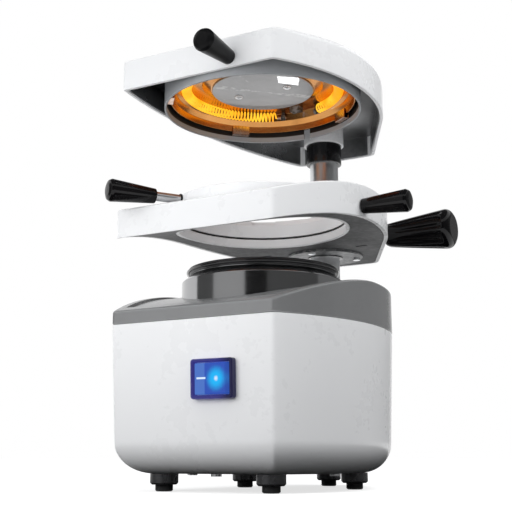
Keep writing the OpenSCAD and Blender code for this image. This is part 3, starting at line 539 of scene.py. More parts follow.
@dataclass(frozen=True)
class LitBezel(Finish):
    """Glossy black frame that carries some of the blue lamp's light.

    Attributes:
        light: Colour of the light in it.
        fade: Where the light begins to fade and where it is weakest, in metres across.
        least: Share of the light at its weakest.
    """

    light: Colour = (0.03, 0.027, 0.19)
    fade: tuple[float, float] = (0.010, 0.0205)
    least: float = 0.22

    def dress(self, desk: NodeDesk, shader: bpy.types.Node) -> None:
        """Adds the light, weaker to the right."""
        shader.inputs["Emission Color"].default_value = (*self.light, 1.0)
        desk.wire(desk.spread(desk.axes(desk.where())["X"], *self.fade, 1.0, self.least),
                  shader.inputs["Emission Strength"])


@dataclass(frozen=True)
class LitLens(Finish):
    """Translucent blue rocker with a lamp behind its right half and a white mark.

    Attributes:
        spot: Centre of the lamp, across and up.
        halo: Radii between which the lamp's halo fades.
        core: Radii between which its bright middle fades.
        ripple: Scale of the ripple in the halo, and its depth.
        mark: Centre of the mark, across and up.
        half: Half length of the mark, up to where it starts to fade and to its end.
        thick: Half height of the mark in the same way.
        crease: Where the lens folds, and half the width over which the painted light of the left
            flat sets in.
        tones: Colours of the right half, the left half with its painted light, the halo, the core
            and the mark.
    """

    spot: tuple[float, float] = (0.0109, 0.0669)
    halo: tuple[float, float] = (0.0024, 0.0088)
    core: tuple[float, float] = (0.0003, 0.0021)
    ripple: tuple[float, float] = (620.0, 0.0012)
    mark: tuple[float, float] = (-0.0002, 0.0674)
    half: tuple[float, float] = (0.0029, 0.0033)
    thick: tuple[float, float] = (0.0004, 0.0007)
    crease: tuple[float, float] = (0.0023, 0.0002)
    # the second tone is painted light on the left flat
    tones: tuple[Colour, ...] = ((0.03, 0.078, 0.36), (0.072, 0.165, 0.46), (0.014, 0.46, 0.84),
                                 (0.72, 0.80, 0.90), (0.75, 0.88, 0.95))

    def dress(self, desk: NodeDesk, shader: bpy.types.Node) -> None:
        """Adds the lamp's halo, its ripple, the mark for on and painted light on the left flat."""
        where = desk.where()
        parts = desk.axes(where)
        far = desk.length(*(desk.math("SUBTRACT", parts[axis], middle)
                            for axis, middle in zip(("X", "Z"), self.spot)))
        scale, deep = self.ripple
        ripple = desk.times(desk.noise(where, scale, 2.0), deep)
        far = desk.math("ADD", far, desk.math("SUBTRACT", ripple, deep / 2))
        # painted light: the left flat glows brighter, standing in for the light that falls on it
        fold, soft = self.crease
        left = desk.spread(parts["X"], fold - soft, fold + soft, 1.0, 0.0)
        across, up = (desk.math("ABSOLUTE", desk.math("SUBTRACT", parts[axis], middle))
                      for axis, middle in zip(("X", "Z"), self.mark))
        mark = desk.times(desk.spread(across, *self.half, 1.0, 0.0),
                          desk.spread(up, *self.thick, 1.0, 0.0))
        glow = self.tones[0]
        for share, tone in zip((left, desk.spread(far, *self.halo, 1.0, 0.0),
                                desk.spread(far, *self.core, 1.0, 0.0), mark), self.tones[1:]):
            glow = desk.mix(share, glow, tone)
        desk.wire(glow, shader.inputs["Emission Color"])
        shader.inputs["Emission Strength"].default_value = 1.0


# The finishes of all pieces
FINISHES: dict[str, Finish] = {finish.name: finish for finish in (
    Finish("white_paint", (0.86, 0.865, 0.875), (0.858, 0.863, 0.873), rough=(0.27, 0.285),
           scale=1300.0, bump=0.006, coat=0.15, wear=0.0),
    Finish("cover_grey", (0.30, 0.304, 0.308), (0.29, 0.294, 0.298), metallic=0.45,
           rough=(0.24, 0.26), scale=2600.0, bump=0.02, worn=(0.5, 0.5, 0.5), wear=0.25),
    # painted shade: this plate's dark grey stands in for the shade under the sheet frame
    Finish("plate_steel", (0.110, 0.112, 0.116), (0.105, 0.107, 0.111), rough=(0.45, 0.55),
           scale=1900.0, bump=0.03, worn=(0.3, 0.3, 0.3), ior=1.25),
    Finish("zinc_screws", (0.78, 0.79, 0.80), (0.70, 0.71, 0.72), metallic=1.0, rough=(0.22, 0.36),
           scale=2600.0, bump=0.05, wear=0.3, dust=0.05),
    Finish("rubber", (0.014, 0.014, 0.015), (0.02, 0.02, 0.021), rough=(0.6, 0.75), scale=2400.0,
           bump=0.15, depth=0.00012, worn=(0.06, 0.06, 0.06), dust=0.08),
    Finish("foot_black", (0.10, 0.10, 0.105), (0.08, 0.08, 0.085), metallic=0.7,
           rough=(0.24, 0.34), scale=2200.0, bump=0.08, worn=(0.12, 0.12, 0.12), wear=0.3,
           dust=0.05),
    LitBezel("switch_black", (0.006, 0.006, 0.009), (0.010, 0.010, 0.013), rough=(0.14, 0.2),
           scale=2200.0, bump=0.03, worn=(0.05, 0.05, 0.08), ior=1.35),
    LitLens("lit_lens", (0.006, 0.014, 0.11), (0.006, 0.016, 0.13), bump=0.02, wear=0.0, ior=1.15),
    Finish("motor_steel", (0.40, 0.41, 0.42), (0.33, 0.34, 0.35), metallic=1.0, rough=(0.32, 0.48),
           pattern=Pattern.TURNED, bump=0.12, depth=0.0002, dust=0.05),
    Finish("chamber_satin", (0.42, 0.423, 0.43), (0.40, 0.403, 0.41), metallic=1.0,
           rough=(0.10, 0.15), pattern=Pattern.TURNED, scale=1500.0, bump=0.03,
           worn=(0.55, 0.55, 0.56), wear=0.3, dust=0.03),
    Finish("platform_gloss", (0.007, 0.007, 0.008), (0.010, 0.010, 0.011), rough=(0.07, 0.13),
           scale=700.0, bump=0.015, coat=0.3, worn=(0.05, 0.05, 0.05), dust=0.02),
    Finish("plate_satin", (0.34, 0.34, 0.345), (0.31, 0.311, 0.316), metallic=0.9,
           rough=(0.26, 0.34), pattern=Pattern.TURNED, scale=1700.0, bump=0.03),
    Finish("centre_satin", (0.27, 0.27, 0.272), (0.25, 0.25, 0.253), metallic=0.9,
           rough=(0.36, 0.44), scale=2300.0, bump=0.03, coat=0.7, coat_rough=0.012, wear=0.3),
    Finish("cast_socket", (0.10, 0.10, 0.105), (0.07, 0.07, 0.075), metallic=0.7,
           rough=(0.5, 0.65), scale=1200.0, bump=0.3, depth=0.0002, dust=0.05),
    Finish("chrome_tube", (0.70, 0.71, 0.72), (0.66, 0.67, 0.685), metallic=1.0,
           rough=(0.28, 0.34), pattern=Pattern.TURNED, bump=0.015, wear=0.05, dust=0.02,
           centre_y=COLUMN_Y * MM),
    Finish("plug_steel", (0.42, 0.43, 0.44), (0.36, 0.37, 0.38), metallic=1.0,
           pattern=Pattern.TURNED, depth=0.0002, dust=0.05, centre_y=COLUMN_Y * MM),
    Finish("bush_black", (0.009, 0.009, 0.010), (0.013, 0.013, 0.014), rough=(0.14, 0.22),
           pattern=Pattern.TURNED, bump=0.03, worn=(0.06, 0.06, 0.06), dust=0.01,
           centre_y=COLUMN_Y * MM),
    Finish("bush_plate_grey", (0.15, 0.153, 0.158), (0.138, 0.142, 0.147), rough=(0.34, 0.42),
           scale=1900.0, bump=0.03, worn=(0.5, 0.5, 0.5), wear=0.5, dust=0.02),
    Finish("brass", (0.52, 0.34, 0.11), (0.46, 0.30, 0.10), metallic=1.0, rough=(0.25, 0.38),
           depth=0.0002, dust=0.05),
    Finish("nylon", (0.70, 0.68, 0.60), (0.66, 0.64, 0.56), rough=(0.45, 0.55), depth=0.0002,
           dust=0.05),
    Finish("grip_black", (0.003, 0.003, 0.0035), (0.005, 0.0045, 0.005), rough=(0.08, 0.13),
           bump=0.015, worn=(0.03, 0.028, 0.028), ior=1.33),
    Finish("grip_matt", (0.003, 0.003, 0.0035), (0.005, 0.005, 0.0055), rough=(0.26, 0.34),
           scale=2100.0, bump=0.05, worn=(0.02, 0.019, 0.019), wear=0.3, ior=1.22),
    # painted shade: the lining's dark grey is partly painted shade, and its black right side wholly
    # so, for the shade inside the head
    LiningWithPaintedShade("lining_dark", (0.26, 0.263, 0.268), (0.24, 0.243, 0.248), metallic=1.0,
           rough=(0.26, 0.34), scale=1900.0, bump=0.03, wear=0.1),
    # painted shade on the inner side above the lower band
    RingWithPaintedShade("shroud_grey", (0.36, 0.372, 0.388), (0.345, 0.357, 0.373), rough=(0.42, 0.5),
           pattern=Pattern.TURNED, scale=1100.0, bump=0.03, worn=(0.8, 0.8, 0.8), wear=0.6),
    # painted reflection: the dish's orange colour stands in for the coil's glow reflected in it
    Finish("reflector_bright", (0.62, 0.30, 0.10), (0.54, 0.24, 0.07), metallic=1.0,
           rough=(0.16, 0.24), pattern=Pattern.TURNED, scale=1300.0, bump=0.05, wear=0.3),
    Finish("clip_steel", (0.64, 0.43, 0.32), (0.56, 0.36, 0.26), metallic=1.0, rough=(0.2, 0.3),
           pattern=Pattern.DRAWN, bump=0.04, depth=0.0002),
    GlowingWire("hot_wire", (0.3, 0.10, 0.03), (0.35, 0.12, 0.04), metallic=0.6, rough=(0.4, 0.5),
           scale=3000.0, bump=0.05, depth=0.0002, wear=0.0),
    Finish("insulator_dark", (0.03, 0.026, 0.022), (0.045, 0.04, 0.035), rough=(0.4, 0.6),
           scale=2400.0, bump=0.2, depth=0.0002),
    Finish("ceramic", (0.10, 0.08, 0.06), (0.06, 0.05, 0.04), rough=(0.5, 0.65), scale=1600.0,
           depth=0.0002, wear=0.3),
)}


@dataclass
class Paintshop:
    """Makes each material once and hands it out.

    Attributes:
        effects: The shared node groups.
        pots: Materials made so far.
    """

    effects: Effects
    pots: dict[str, bpy.types.Material] = field(default_factory=dict)

    def get(self, name: str) -> bpy.types.Material:
        """Returns the material of that name, making it when first asked for."""
        if name not in self.pots:
            self.pots[name] = FINISHES[name].build(self.effects)
        return self.pots[name]


# Meshes


def soften(corners: Sequence[tuple[float, ...]], radius: float = 0.4, steps: int = 3,
           closed: bool = False) -> Points:
    """Rounds the corners of a profile.

    Args:
        corners: Corners as (r, z), or (r, z, own radius).
        radius: Radius of corners that state none.
        steps: Segments in each rounding.
        closed: Whether the last corner joins the first.

    Returns:
        The rounded profile as an array of (r, z).
    """
    count, nearly_straight, most = len(corners), math.pi - 0.03, 0.49
    made: list[Points] = []
    for i, corner in enumerate(corners):
        here = np.array(corner[:2], float)
        own = corner[2] if len(corner) > 2 else radius
        if not closed and i in (0, count - 1):
            made.append(here)
            continue
        back = np.array(corners[i - 1][:2], float) - here
        ahead = np.array(corners[(i + 1) % count][:2], float) - here
        room = most * min(np.linalg.norm(back), np.linalg.norm(ahead))
        back, ahead = back / np.linalg.norm(back), ahead / np.linalg.norm(ahead)
        turn = math.acos(float(np.clip(back @ ahead, -1.0, 1.0)))
        if own <= 0 or turn > nearly_straight:
            made.append(here)
            continue
        cut = min(own / math.tan(turn / 2), room)
        start, end = here + back * cut, here + ahead * cut
        for k in range(steps + 1):
            t = k / steps
            made.append((1 - t) ** 2 * start + 2 * t * (1 - t) * here + t * t * end)
    return np.array(made)


def row(angle: Points, reach: Points | float, height: Height) -> Points:
    """A row of points round the chamber axis.

    Args:
        angle: Directions in radians.
        reach: Distance from the axis.
        height: Height, or a function of x and y.

    Returns:
        The points.
    """
    x, y = reach * np.cos(angle), reach * np.sin(angle)
    z = height(x, y) if callable(height) else np.full(len(angle), float(height))
    return np.column_stack((x, y, z))


def placed(name: str, data: bpy.types.ID) -> bpy.types.Object:
    """Makes an object and links it to the scene."""
    made = bpy.data.objects.new(name, data)
    bpy.context.scene.collection.objects.link(made)
    return made


@dataclass
class Clay:
    """Collects pieces of mesh, in millimetres, that become one object.

    Attributes:
        verts: Arrays of points.
        faces: Faces as indices into all points.
        total: Number of points so far.
    """

    verts: list[Points] = field(default_factory=list)
    faces: list[tuple[int, ...]] = field(default_factory=list)
    total: int = 0

    def add(self, verts: Points, faces: Iterable[Sequence[int]],
            matrix: Matrix | None = None) -> "Clay":
        """Adds points and faces.

        Args:
            verts: Points, one row each.
            faces: Faces as indices into the points.
            matrix: Placement of the points.

        Returns:
            This clay.
        """
        if matrix is not None:
            turn = np.array(matrix)
            verts = verts @ turn[:3, :3].T + turn[:3, 3]
        self.faces += [tuple(int(i) + self.total for i in f) for f in faces]
        self.verts.append(verts)
        self.total += len(verts)
        return self

    def rings(self, rows: Sequence[Points], closed: bool = False, caps: bool = False,
              matrix: Matrix | None = None) -> "Clay":
        """Adds a skin over rows of points that run round.

        Args:
            rows: Rows with the same number of points each.
            closed: Whether the last row joins the first.
            caps: Whether a face closes the first and the last row.
            matrix: Placement.

        Returns:
            This clay.
        """
        n, m = len(rows), len(rows[0])
        faces: list[Sequence[int]] = []
        for i in range(n if closed else n - 1):
            a, b = i * m, ((i + 1) % n) * m
            for j in range(m):
                k = (j + 1) % m
                faces.append((a + j, a + k, b + k, b + j))
        if caps:
            faces += [tuple(reversed(range(m))), tuple(range((n - 1) * m, n * m))]
        return self.add(np.vstack(rows), faces, matrix)

    def lathe(self, profile: Points, segments: int = 128, matrix: Matrix | None = None,
              closed: bool = True) -> "Clay":
        """Turns a profile of (r, z) round the Z axis.

        Args:
            profile: The profile.
            segments: Steps round the axis.
            matrix: Placement.
            closed: Whether the profile's last point joins its first.

        Returns:
            This clay.
        """
        angle = np.linspace(0, 2 * math.pi, segments, endpoint=False)
        return self.rings([row(angle, r, z) for r, z in profile], closed, not closed, matrix)

    def block(self, size: Triple, radius: float, matrix: Matrix, steps: int = 3) -> "Clay":
        """Adds a box with rounded edges.

        Args:
            size: Its three sizes.
            radius: Radius of its edges.
            matrix: Placement of its centre.
            steps: Segments in each rounding.

        Returns:
            This clay.
        """
        work = bmesh.new()
        bmesh.ops.create_cube(work, size=1.0, matrix=Matrix.Diagonal((*size, 1.0)))
        bmesh.ops.bevel(work, geom=work.edges[:], offset=radius, segments=steps, profile=0.5,
                        affect="EDGES")
        work.verts.index_update()
        verts = np.array([v.co[:] for v in work.verts])
        faces = [[v.index for v in f.verts] for f in work.faces]
        work.free()
        return self.add(verts, faces, matrix)

    def tube(self, path: Points, radius: float, sides: int) -> "Clay":
        """Sweeps a round wire along a path.

        Args:
            path: Points of the wire's axis.
            radius: Its radius.
            sides: Points round the wire.

        Returns:
            This clay.
        """
        ahead = np.gradient(path, axis=0)
        ahead /= np.linalg.norm(ahead, axis=1)[:, None]
        side = np.cross(ahead[0], (0.0, 0.0, 1.0))
        rows, angle = [], np.linspace(0, 2 * math.pi, sides, endpoint=False)
        for point, way in zip(path, ahead):
            side = side - way * (side @ way)
            side /= np.linalg.norm(side)
            up = np.cross(way, side)
            rows.append(point + radius * (np.outer(np.cos(angle), side)
                                          + np.outer(np.sin(angle), up)))
        return self.rings(rows, caps=True)

    def make(self, name: str, material: bpy.types.Material | None = None,
             sharp: float = SHARP) -> bpy.types.Object:
        """Makes the object, in metres.

        Args:
            name: Name of the piece.
            material: Its material.
            sharp: Angle in degrees above which an edge stays sharp.

        Returns:
            The object, linked to the scene.
        """
        mesh = bpy.data.meshes.new(name)
        mesh.from_pydata((np.vstack(self.verts) * MM).tolist(), [], self.faces)
        work = bmesh.new()
        work.from_mesh(mesh)
        bmesh.ops.recalc_face_normals(work, faces=work.faces[:])
        work.to_mesh(mesh)
        work.free()
        mesh.shade_smooth()
        mesh.set_sharp_from_angle(angle=math.radians(sharp))
        if material:
            mesh.materials.append(material)
        made = placed(name, mesh)
        made.modifiers.new("even_normals", "WEIGHTED_NORMAL").keep_sharp = True
        return made


def at(x: float = 0.0, y: float = 0.0, z: float = 0.0) -> Matrix:
    """Placement by a shift alone."""
    return Matrix.Translation((x, y, z))


def turned(angle: float, axis: str) -> Matrix:
    """Placement by a turn, in degrees, about a main axis."""
    return Matrix.Rotation(math.radians(angle), 4, axis)


@dataclass(frozen=True)
class Plan:
    """Outline that the base, the sheet frame and the head share, seen from above.

    Attributes:
        front: Distance to the front facet.
        back: Distance to the back wall.
        right: Centre and radius of the right arc.
        left: Centre and radius of the left arc.
        trim: Centre and radius of the circle that trims the rear corners.
        cut: Angle at which the right arc runs out into a straight wall.
        crisp: How crisp the corners are.
    """

    front: float = 73.0
    back: float = 145.0
    right: Triple = (-61.0, 12.0, 137.0)
    left: Triple = (327.0, -12.0, 400.0)
    trim: Triple = (-7.0, 60.0, 90.5)
    cut: float = 26.3
    crisp: float = 110.0

    def angles(self) -> Points:
        """Directions at which the outline is sampled, closer together at the corners."""
        made = [np.arange(0.0, 360.0, 0.5)]
        around, close = 2.5, 0.1
        for x, y in ((-67.5, -self.front), (47.5, -self.front), (25.8, self.back),
                     (-43.0, self.back)):
            middle = math.degrees(math.atan2(y, x)) % 360
            made.append(middle + np.arange(-around, around, close) + close / 2)
        return np.radians(np.unique(np.round(np.concatenate(made) % 360, 3)))

    @staticmethod
    def _circle(ux: Points, uy: Points, circle: Triple, inset: float) -> Points:
        """Distance from the origin to a shrunk circle, along directions (ux, uy)."""
        cx, cy, r = circle
        r -= inset
        along = ux * cx + uy * cy
        return along + np.sqrt(np.maximum(along ** 2 - cx * cx - cy * cy + r * r, 0.0))

    def reach(self, angle: Points, inset: float) -> Points:
        """Distance from the chamber axis to the outline.

        Args:
            angle: Directions in radians.
            inset: How far the outline is drawn inwards.

        Returns:
            The distances.
        """
        ux, uy = np.cos(angle), np.sin(angle)
        far, tiny, small = 1e4, 1e-6, 1e-3
        front = np.where(uy < -tiny, (self.front - inset) / np.maximum(-uy, tiny), far)
        back = np.where(uy > tiny, (self.back - inset) / np.maximum(uy, tiny), far)
        left, right, trim = (self._circle(ux, uy, circle, inset)
                             for circle in (self.left, self.right, self.trim))
        cx, cy, r = self.right
        cut = math.radians(self.cut)
        nx, ny = math.cos(cut), math.sin(cut)
        wall = nx * cx + ny * cy + r - inset
        facing = nx * ux + ny * uy
        straight = np.where(facing > small, wall / np.maximum(facing, small), far)
        past = np.arctan2(right * uy - cy, right * ux - cx) > cut
        right = np.where(past, straight, right)
        trim = np.where(trim * uy > self.trim[1], trim, far)
        stack = np.stack([front, back, left, right, trim])
        least = stack.min(0)
        return least * (((least / stack) ** self.crisp).sum(0)) ** (-1.0 / self.crisp)


@dataclass(frozen=True)
class Sweep:
    """Height of a surface that is level at the back and falls towards the front facet.

    Attributes:
        level: Height of the level part.
        drop: Fall at the front facet.
        front: Distance of the facet from the chamber axis.
        start: Where the fall starts behind the chamber axis.
    """

    level: float
    drop: float
    front: float = 75.0
    start: float = 15.0

    def __call__(self, x: Points, y: Points) -> Points:
        """Height at the points (x, y)."""
        run = self.start + self.front
        r = (run * run + self.drop ** 2) / (2 * self.drop)
        d = np.maximum(self.start - y, 0.0)
        return self.level - (r - np.sqrt(r * r - d * d))

    def lifted(self, up: Points | float) -> Callable[[Points, Points], Points]:
        """The same surface shifted upwards by a distance."""
        return lambda x, y: self(x, y) + up


def quarter(steps: int) -> list[float]:
    """Angles of a quarter turn in radians, without the first."""
    return [math.radians(90 * k / steps) for k in range(1, steps + 1)]


def off_by(angle: Points, middle: float) -> Points:
    """How many degrees directions, given in radians, lie away from a middle one."""
    return np.abs((np.degrees(angle) - middle + 180) % 360 - 180)


@dataclass
class Loft:
    """Rows of points on the shared outline, from which a skin is made.

    Attributes:
        plan: The outline.
        grow: How far the outline is widened.
        rows: The rows so far.
        angle: Directions of the points in a row.
    """

    plan: Plan
    grow: float = 0.0
    rows: list[Points] = field(default_factory=list)
    angle: Points = field(init=False)

    def __post_init__(self) -> None:
        """Takes the directions from the outline."""
        self.angle = self.plan.angles()

    def reach(self, inset: float) -> Points:
        """Distance from the chamber axis to the outline, drawn inwards by an inset."""
        return self.plan.reach(self.angle, inset - self.grow)

    def on(self, *rows: tuple[float, Height]) -> None:
        """Adds rows, each given by its inset from the outline and its height."""
        self.at(*((self.reach(inset), height) for inset, height in rows))

    def at(self, *rows: tuple[Points | float, Height]) -> None:
        """Adds rows, each given by its distance from the chamber axis and its height."""
        self.rows += [row(self.angle, reach, height) for reach, height in rows]

    def rise(self, low: Height, top: Height, edge: Points | float, shares: Points) -> None:
        """Adds the wall between a lower height and the rounding under the top.

        Args:
            low: Height at which the wall starts, or a function of x and y.
            top: Height of the top.
            edge: How far below the top the wall ends.
            shares: Shares of the way up at which rows lie.
        """
        def height(x: Points, y: Points, share: float) -> Points:
            """Height of the row at a share of the way up."""
            start = low(x, y) if callable(low) else low
            return start + share * (top(x, y) - edge - start)

        for share in shares:
            self.on((0.0, lambda x, y, s=share: height(x, y, s)))

    def roll(self, edge: float, top: "Sweep") -> None:
        """Adds the rounding between the wall and the top."""
        for a in quarter(5):
            self.on((edge * (1 - math.cos(a)), top.lifted(-edge * (1 - math.sin(a)))))

    def cross(self, outer: Points | float, inner: Points | float, count: int,
              height: Height) -> None:
        """Adds evenly spaced rows between two distances from the chamber axis."""
        self.at(*((outer + (inner - outer) * share, height)
                  for share in np.linspace(0, 1, count)))


@dataclass
class Workshop:
    """What every sub-assembly works with.

    Attributes:
        paint: Where finishes come from.
        plan: The shared outline.
        log: Names of the pieces made.
    """

    frame: dict
    paint: Paintshop
    plan: Plan = field(default_factory=Plan)
    log: list[str] = field(default_factory=list)

    def coat(self, finish: str, *nodes: str) -> None:
        """Gives CAD nodes that stay a procedural finish."""
        for name in nodes:
            mesh = self.frame["nodes"][name].data
            mesh.materials.clear()
            mesh.materials.append(self.paint.get(finish))
            LOG.info("%s is kept, finish %s", name, finish)


# Sub-assemblies


@dataclass
class Assembly:
    """A sub-assembly: it makes its own pieces and coats the CAD nodes that stay.

    Attributes:
        shop: What all sub-assemblies share.
        body: The body that its pieces ride on.
        kept: Names of the CAD nodes that stay, by the finish that they get.
    """

    shop: Workshop
    body: ClassVar[Body] = Body.BASE
    kept: ClassVar[dict[str, str]] = {}

    def pieces(self) -> None:
        """Makes the sub-assembly's own pieces."""
        raise NotImplementedError

    def build(self) -> None:
        """Makes the pieces and coats the CAD nodes that stay."""
        self.pieces()
        for finish, nodes in self.kept.items():
            self.shop.coat(finish, *nodes.split())

    def make(self, clay: Clay, name: str, slot: str, *nodes: str, body: Body | None = None,
             finish: str = "", sharp: float = SHARP) -> bpy.types.Object:
        """Makes a piece from clay, dresses it and puts it on its body.

        Args:
            clay: The mesh.
            name: Name of the piece.
            slot: The record's material slot, also the finish unless another is given.
            *nodes: CAD nodes that it replaces.
            body: The body that it rides on, if other than the sub-assembly's.
            finish: Its finish.
            sharp: Angle above which edges stay sharp.

        Returns:
            The object.
        """
        piece = clay.make(name, self.shop.paint.get(finish or slot), sharp)
        carrier = (body or self.body).value
        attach(piece, carrier)
        if nodes:
            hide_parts(*nodes)
        self.shop.log.append(piece.name)
        LOG.info("%s rides on %s", piece.name, carrier)
        return piece

    def turn(self, corners: Sequence[tuple[float, ...]], soft: tuple[float, int], segments: int,
             name: str, slot: str, *nodes: str, place: Matrix | None = None,
             closed: bool = True, finish: str = "") -> None:
        """Makes a piece that is turned from one profile.

        Args:
            corners: Corners of the profile as (r, z), or (r, z, own radius).
            soft: Radius of corners that state none, and segments in each rounding.
            segments: Steps round the axis.
            name: Name of the piece.
            slot: The record's material slot.
            *nodes: CAD nodes that it replaces.
            place: Placement of its axis.
            closed: Whether the profile runs round to its start.
            finish: Its finish, if other than the slot.
        """
        clay = Clay().lathe(soften(corners, *soft, closed), segments, place, closed)
        self.make(clay, name, slot, *nodes, finish=finish)


@dataclass
class Grip:
    """Tapered handle that ends in a shallow dome.

    Attributes:
        length: Its length.
        root: Radius at its root.
        tip: Radius at its end.
    """

    length: float = 33.0
    root: float = 4.9
    tip: float = 7.5

    def shape(self, place: Matrix) -> Clay:
        """Turns the handle along +Z of the placement of its root."""
        profile = soften([
            (0.05, 0.3), (self.root - 1.3, 0.3), (self.root - 1.0, 0.0), (self.root, 0.0, 0.7),
            (self.tip, self.length - 3.0, 1.6), (self.tip - 1.0, self.length - 1.1, 1.2),
            (self.tip - 3.4, self.length - 0.2, 3.0), (0.05, self.length)
        ], 0.25, 5)
        return Clay().lathe(profile, 72, place, closed=False)


@dataclass
class Base(Assembly):
    """The standing part: body, cover, feet, chamber, platform and column.

    Attributes:
        foot: Height of the body's underside.
        seam: Height of the joint between body and cover.
        grow: How far the base stands out beyond the head in plan.
        wall: Wall thickness.
        fillet: Radius of the rounded underside.
        tuck: How far the underside's edge lies inside the outline.
        rim: Width of the cover's rim.
        edge: Radius of the cover's upper edge.
        recess: Depth of the cover's recess.
        hole: Radius of the cover's opening for the chamber.
        top: Surface of the cover's top.
    """

    kept: ClassVar[dict[str, str]] = {
        "plate_steel": "floor_plate",
        "zinc_screws": "floor_screws foot_screws chamber_screws socket_screws pivot_screw",
        "foot_black": "feet",
        "rubber": "foot_tips motor_seal motor_pad",
        "bush_black": "mains_inlet fuse_holder",
        "motor_steel": "motor_can fan_housing impeller motor_shaft",
        "plate_satin": "perforated_plate",
        "cast_socket": "column_socket",
        "plug_steel": "column_plug",
    }
    foot: float = 11.0
    seam: float = 104.4
    grow: float = 2.0
    wall: float = 3.0
    fillet: float = 20.0
    tuck: float = 23.5
    rim: float = 7.0
    edge: float = 1.5
    recess: float = 1.6
    hole: float = 55.15
    top: Sweep = Sweep(133.0, 20.0)

    def _body(self) -> None:
        """White body: leaning walls, rounded underside, open top."""
        loft = Loft(self.shop.plan, self.grow)
        slope = math.tan(math.radians(DRAFT))
        low, seam = self.foot + self.fillet, self.seam
        loft.on((self.tuck, self.foot + 3.0), (self.tuck, self.foot))
        for a in (0.0, *quarter(14)):
            loft.on(((seam - low) * slope + self.fillet * (1 - math.sin(a)),
                     low - self.fillet * math.cos(a)))
        loft.on(*(((seam - z) * slope, z) for z in np.linspace(low, seam - 0.7, 14)[1:]))
        loft.on((0.15, seam - 0.25), (0.5, seam), (self.wall, seam))
        loft.on(*(((seam - z) * slope + self.wall, z) for z in (70.0, 34.0)), (12.0, 17.0))
        self.make(Clay().rings(loft.rows, closed=True), "body_case", "white_paint", "body_shell")

    def _cover(self) -> None:
        """Grey cover: a rim round a recessed top that falls to the front."""
        loft, top, start = Loft(self.shop.plan, self.grow), self.top, self.seam + 0.9
        loft.on((self.wall, self.seam + 0.2), (0.45, self.seam + 0.2), (0.1, self.seam + 0.45),
                (0.0, start))
        loft.rise(start, top, self.edge, np.linspace(0, 1, 7)[1:])
        loft.roll(self.edge, top)
        floor, under = top.lifted(-self.recess), top.lifted(-self.wall)
        loft.on((self.rim - 0.4, top), (self.rim, top.lifted(-0.35)),
                (self.rim + 0.15, top.lifted(-self.recess + 0.3)))
        loft.cross(loft.reach(self.rim + 0.45), self.hole + 0.5, 14, floor)
        loft.at((self.hole, top.lifted(-self.recess - 0.5)), (self.hole, under))
        loft.cross(self.hole + 0.5, loft.reach(self.wall), 6, under)
        collar = soften([(11.3, 118.0), (11.3, 131.6), (12.4, 132.1), (13.6, 131.9),
                         (14.6, 131.2), (14.6, 118.0)], 0.3, 3, closed=True)
        clay = Clay().rings(loft.rows, closed=True).lathe(collar, 72, at(0.0, COLUMN_Y))
        self.make(clay, "top_hood", "cover_grey", "top_cover")

    def _chamber(self) -> None:
        """Dark turned chamber with a conical shoulder and a narrow neck."""
        self.turn([
            (12.0, 97.0), (63.0, 97.0), (63.0, 100.0), (55.0, 100.0), (55.0, 136.0, 0.8),
            (49.5, 140.6, 0.8), (49.5, 141.4), (46.5, 141.4), (46.5, 136.0), (52.0, 131.0),
            (52.0, 100.0), (12.0, 100.0)
        ], (0.3, 4), 192, "chamber_can", "chamber_satin", "vacuum_chamber")

    def _platform(self) -> None:
        """Gloss black platform, rounded below, with a seat for the perforated plate."""
        outer = [(49.5 + 2.5 * math.sin(a), 141.5 + 1.6 * (1 - math.cos(a)), 0.0)
                 for a in (0.0, *quarter(9))]
        self.turn([
            (42.3, 136.5), (46.3, 136.5), (46.3, 141.5), *outer, (52.0, 144.1, 0.7),
            (45.1, 144.1), (45.1, 142.3), (42.0, 142.3), (42.0, 137.5)
        ], (0.25, 4), 192, "platform_bowl", "platform_gloss", "platform")
        self.turn([(46.4, 144.0), (50.8, 144.0), (50.8, 145.4, 0.5), (46.4, 145.4, 0.5)],
                  (0.1, 3), 160, "platform_seal", "rubber", "platform_gasket")

    def _column(self) -> None:
        """Polished tube, its long walls divided into short steps."""
        profile = soften([(9.1, 17.1), (11.1, 17.1), (11.1, 281.0), (9.1, 281.0)], 0.5, 3,
                         closed=True)
        rows = [profile[0]]
        for a, b in zip(profile, profile[1:]):
            steps = 24 if abs(b[1] - a[1]) > 50 else 1
            rows += [a + (b - a) * k / steps for k in range(1, steps + 1)]
        self.make(Clay().lathe(np.array(rows), 128, at(0.0, COLUMN_Y)), "column_tube",
                  "chrome_tube", "column")

    def pieces(self) -> None:
        """Makes the body, the cover, the chamber, the platform and the column."""
        for make in (self._body, self._cover, self._chamber, self._platform, self._column):
            make()


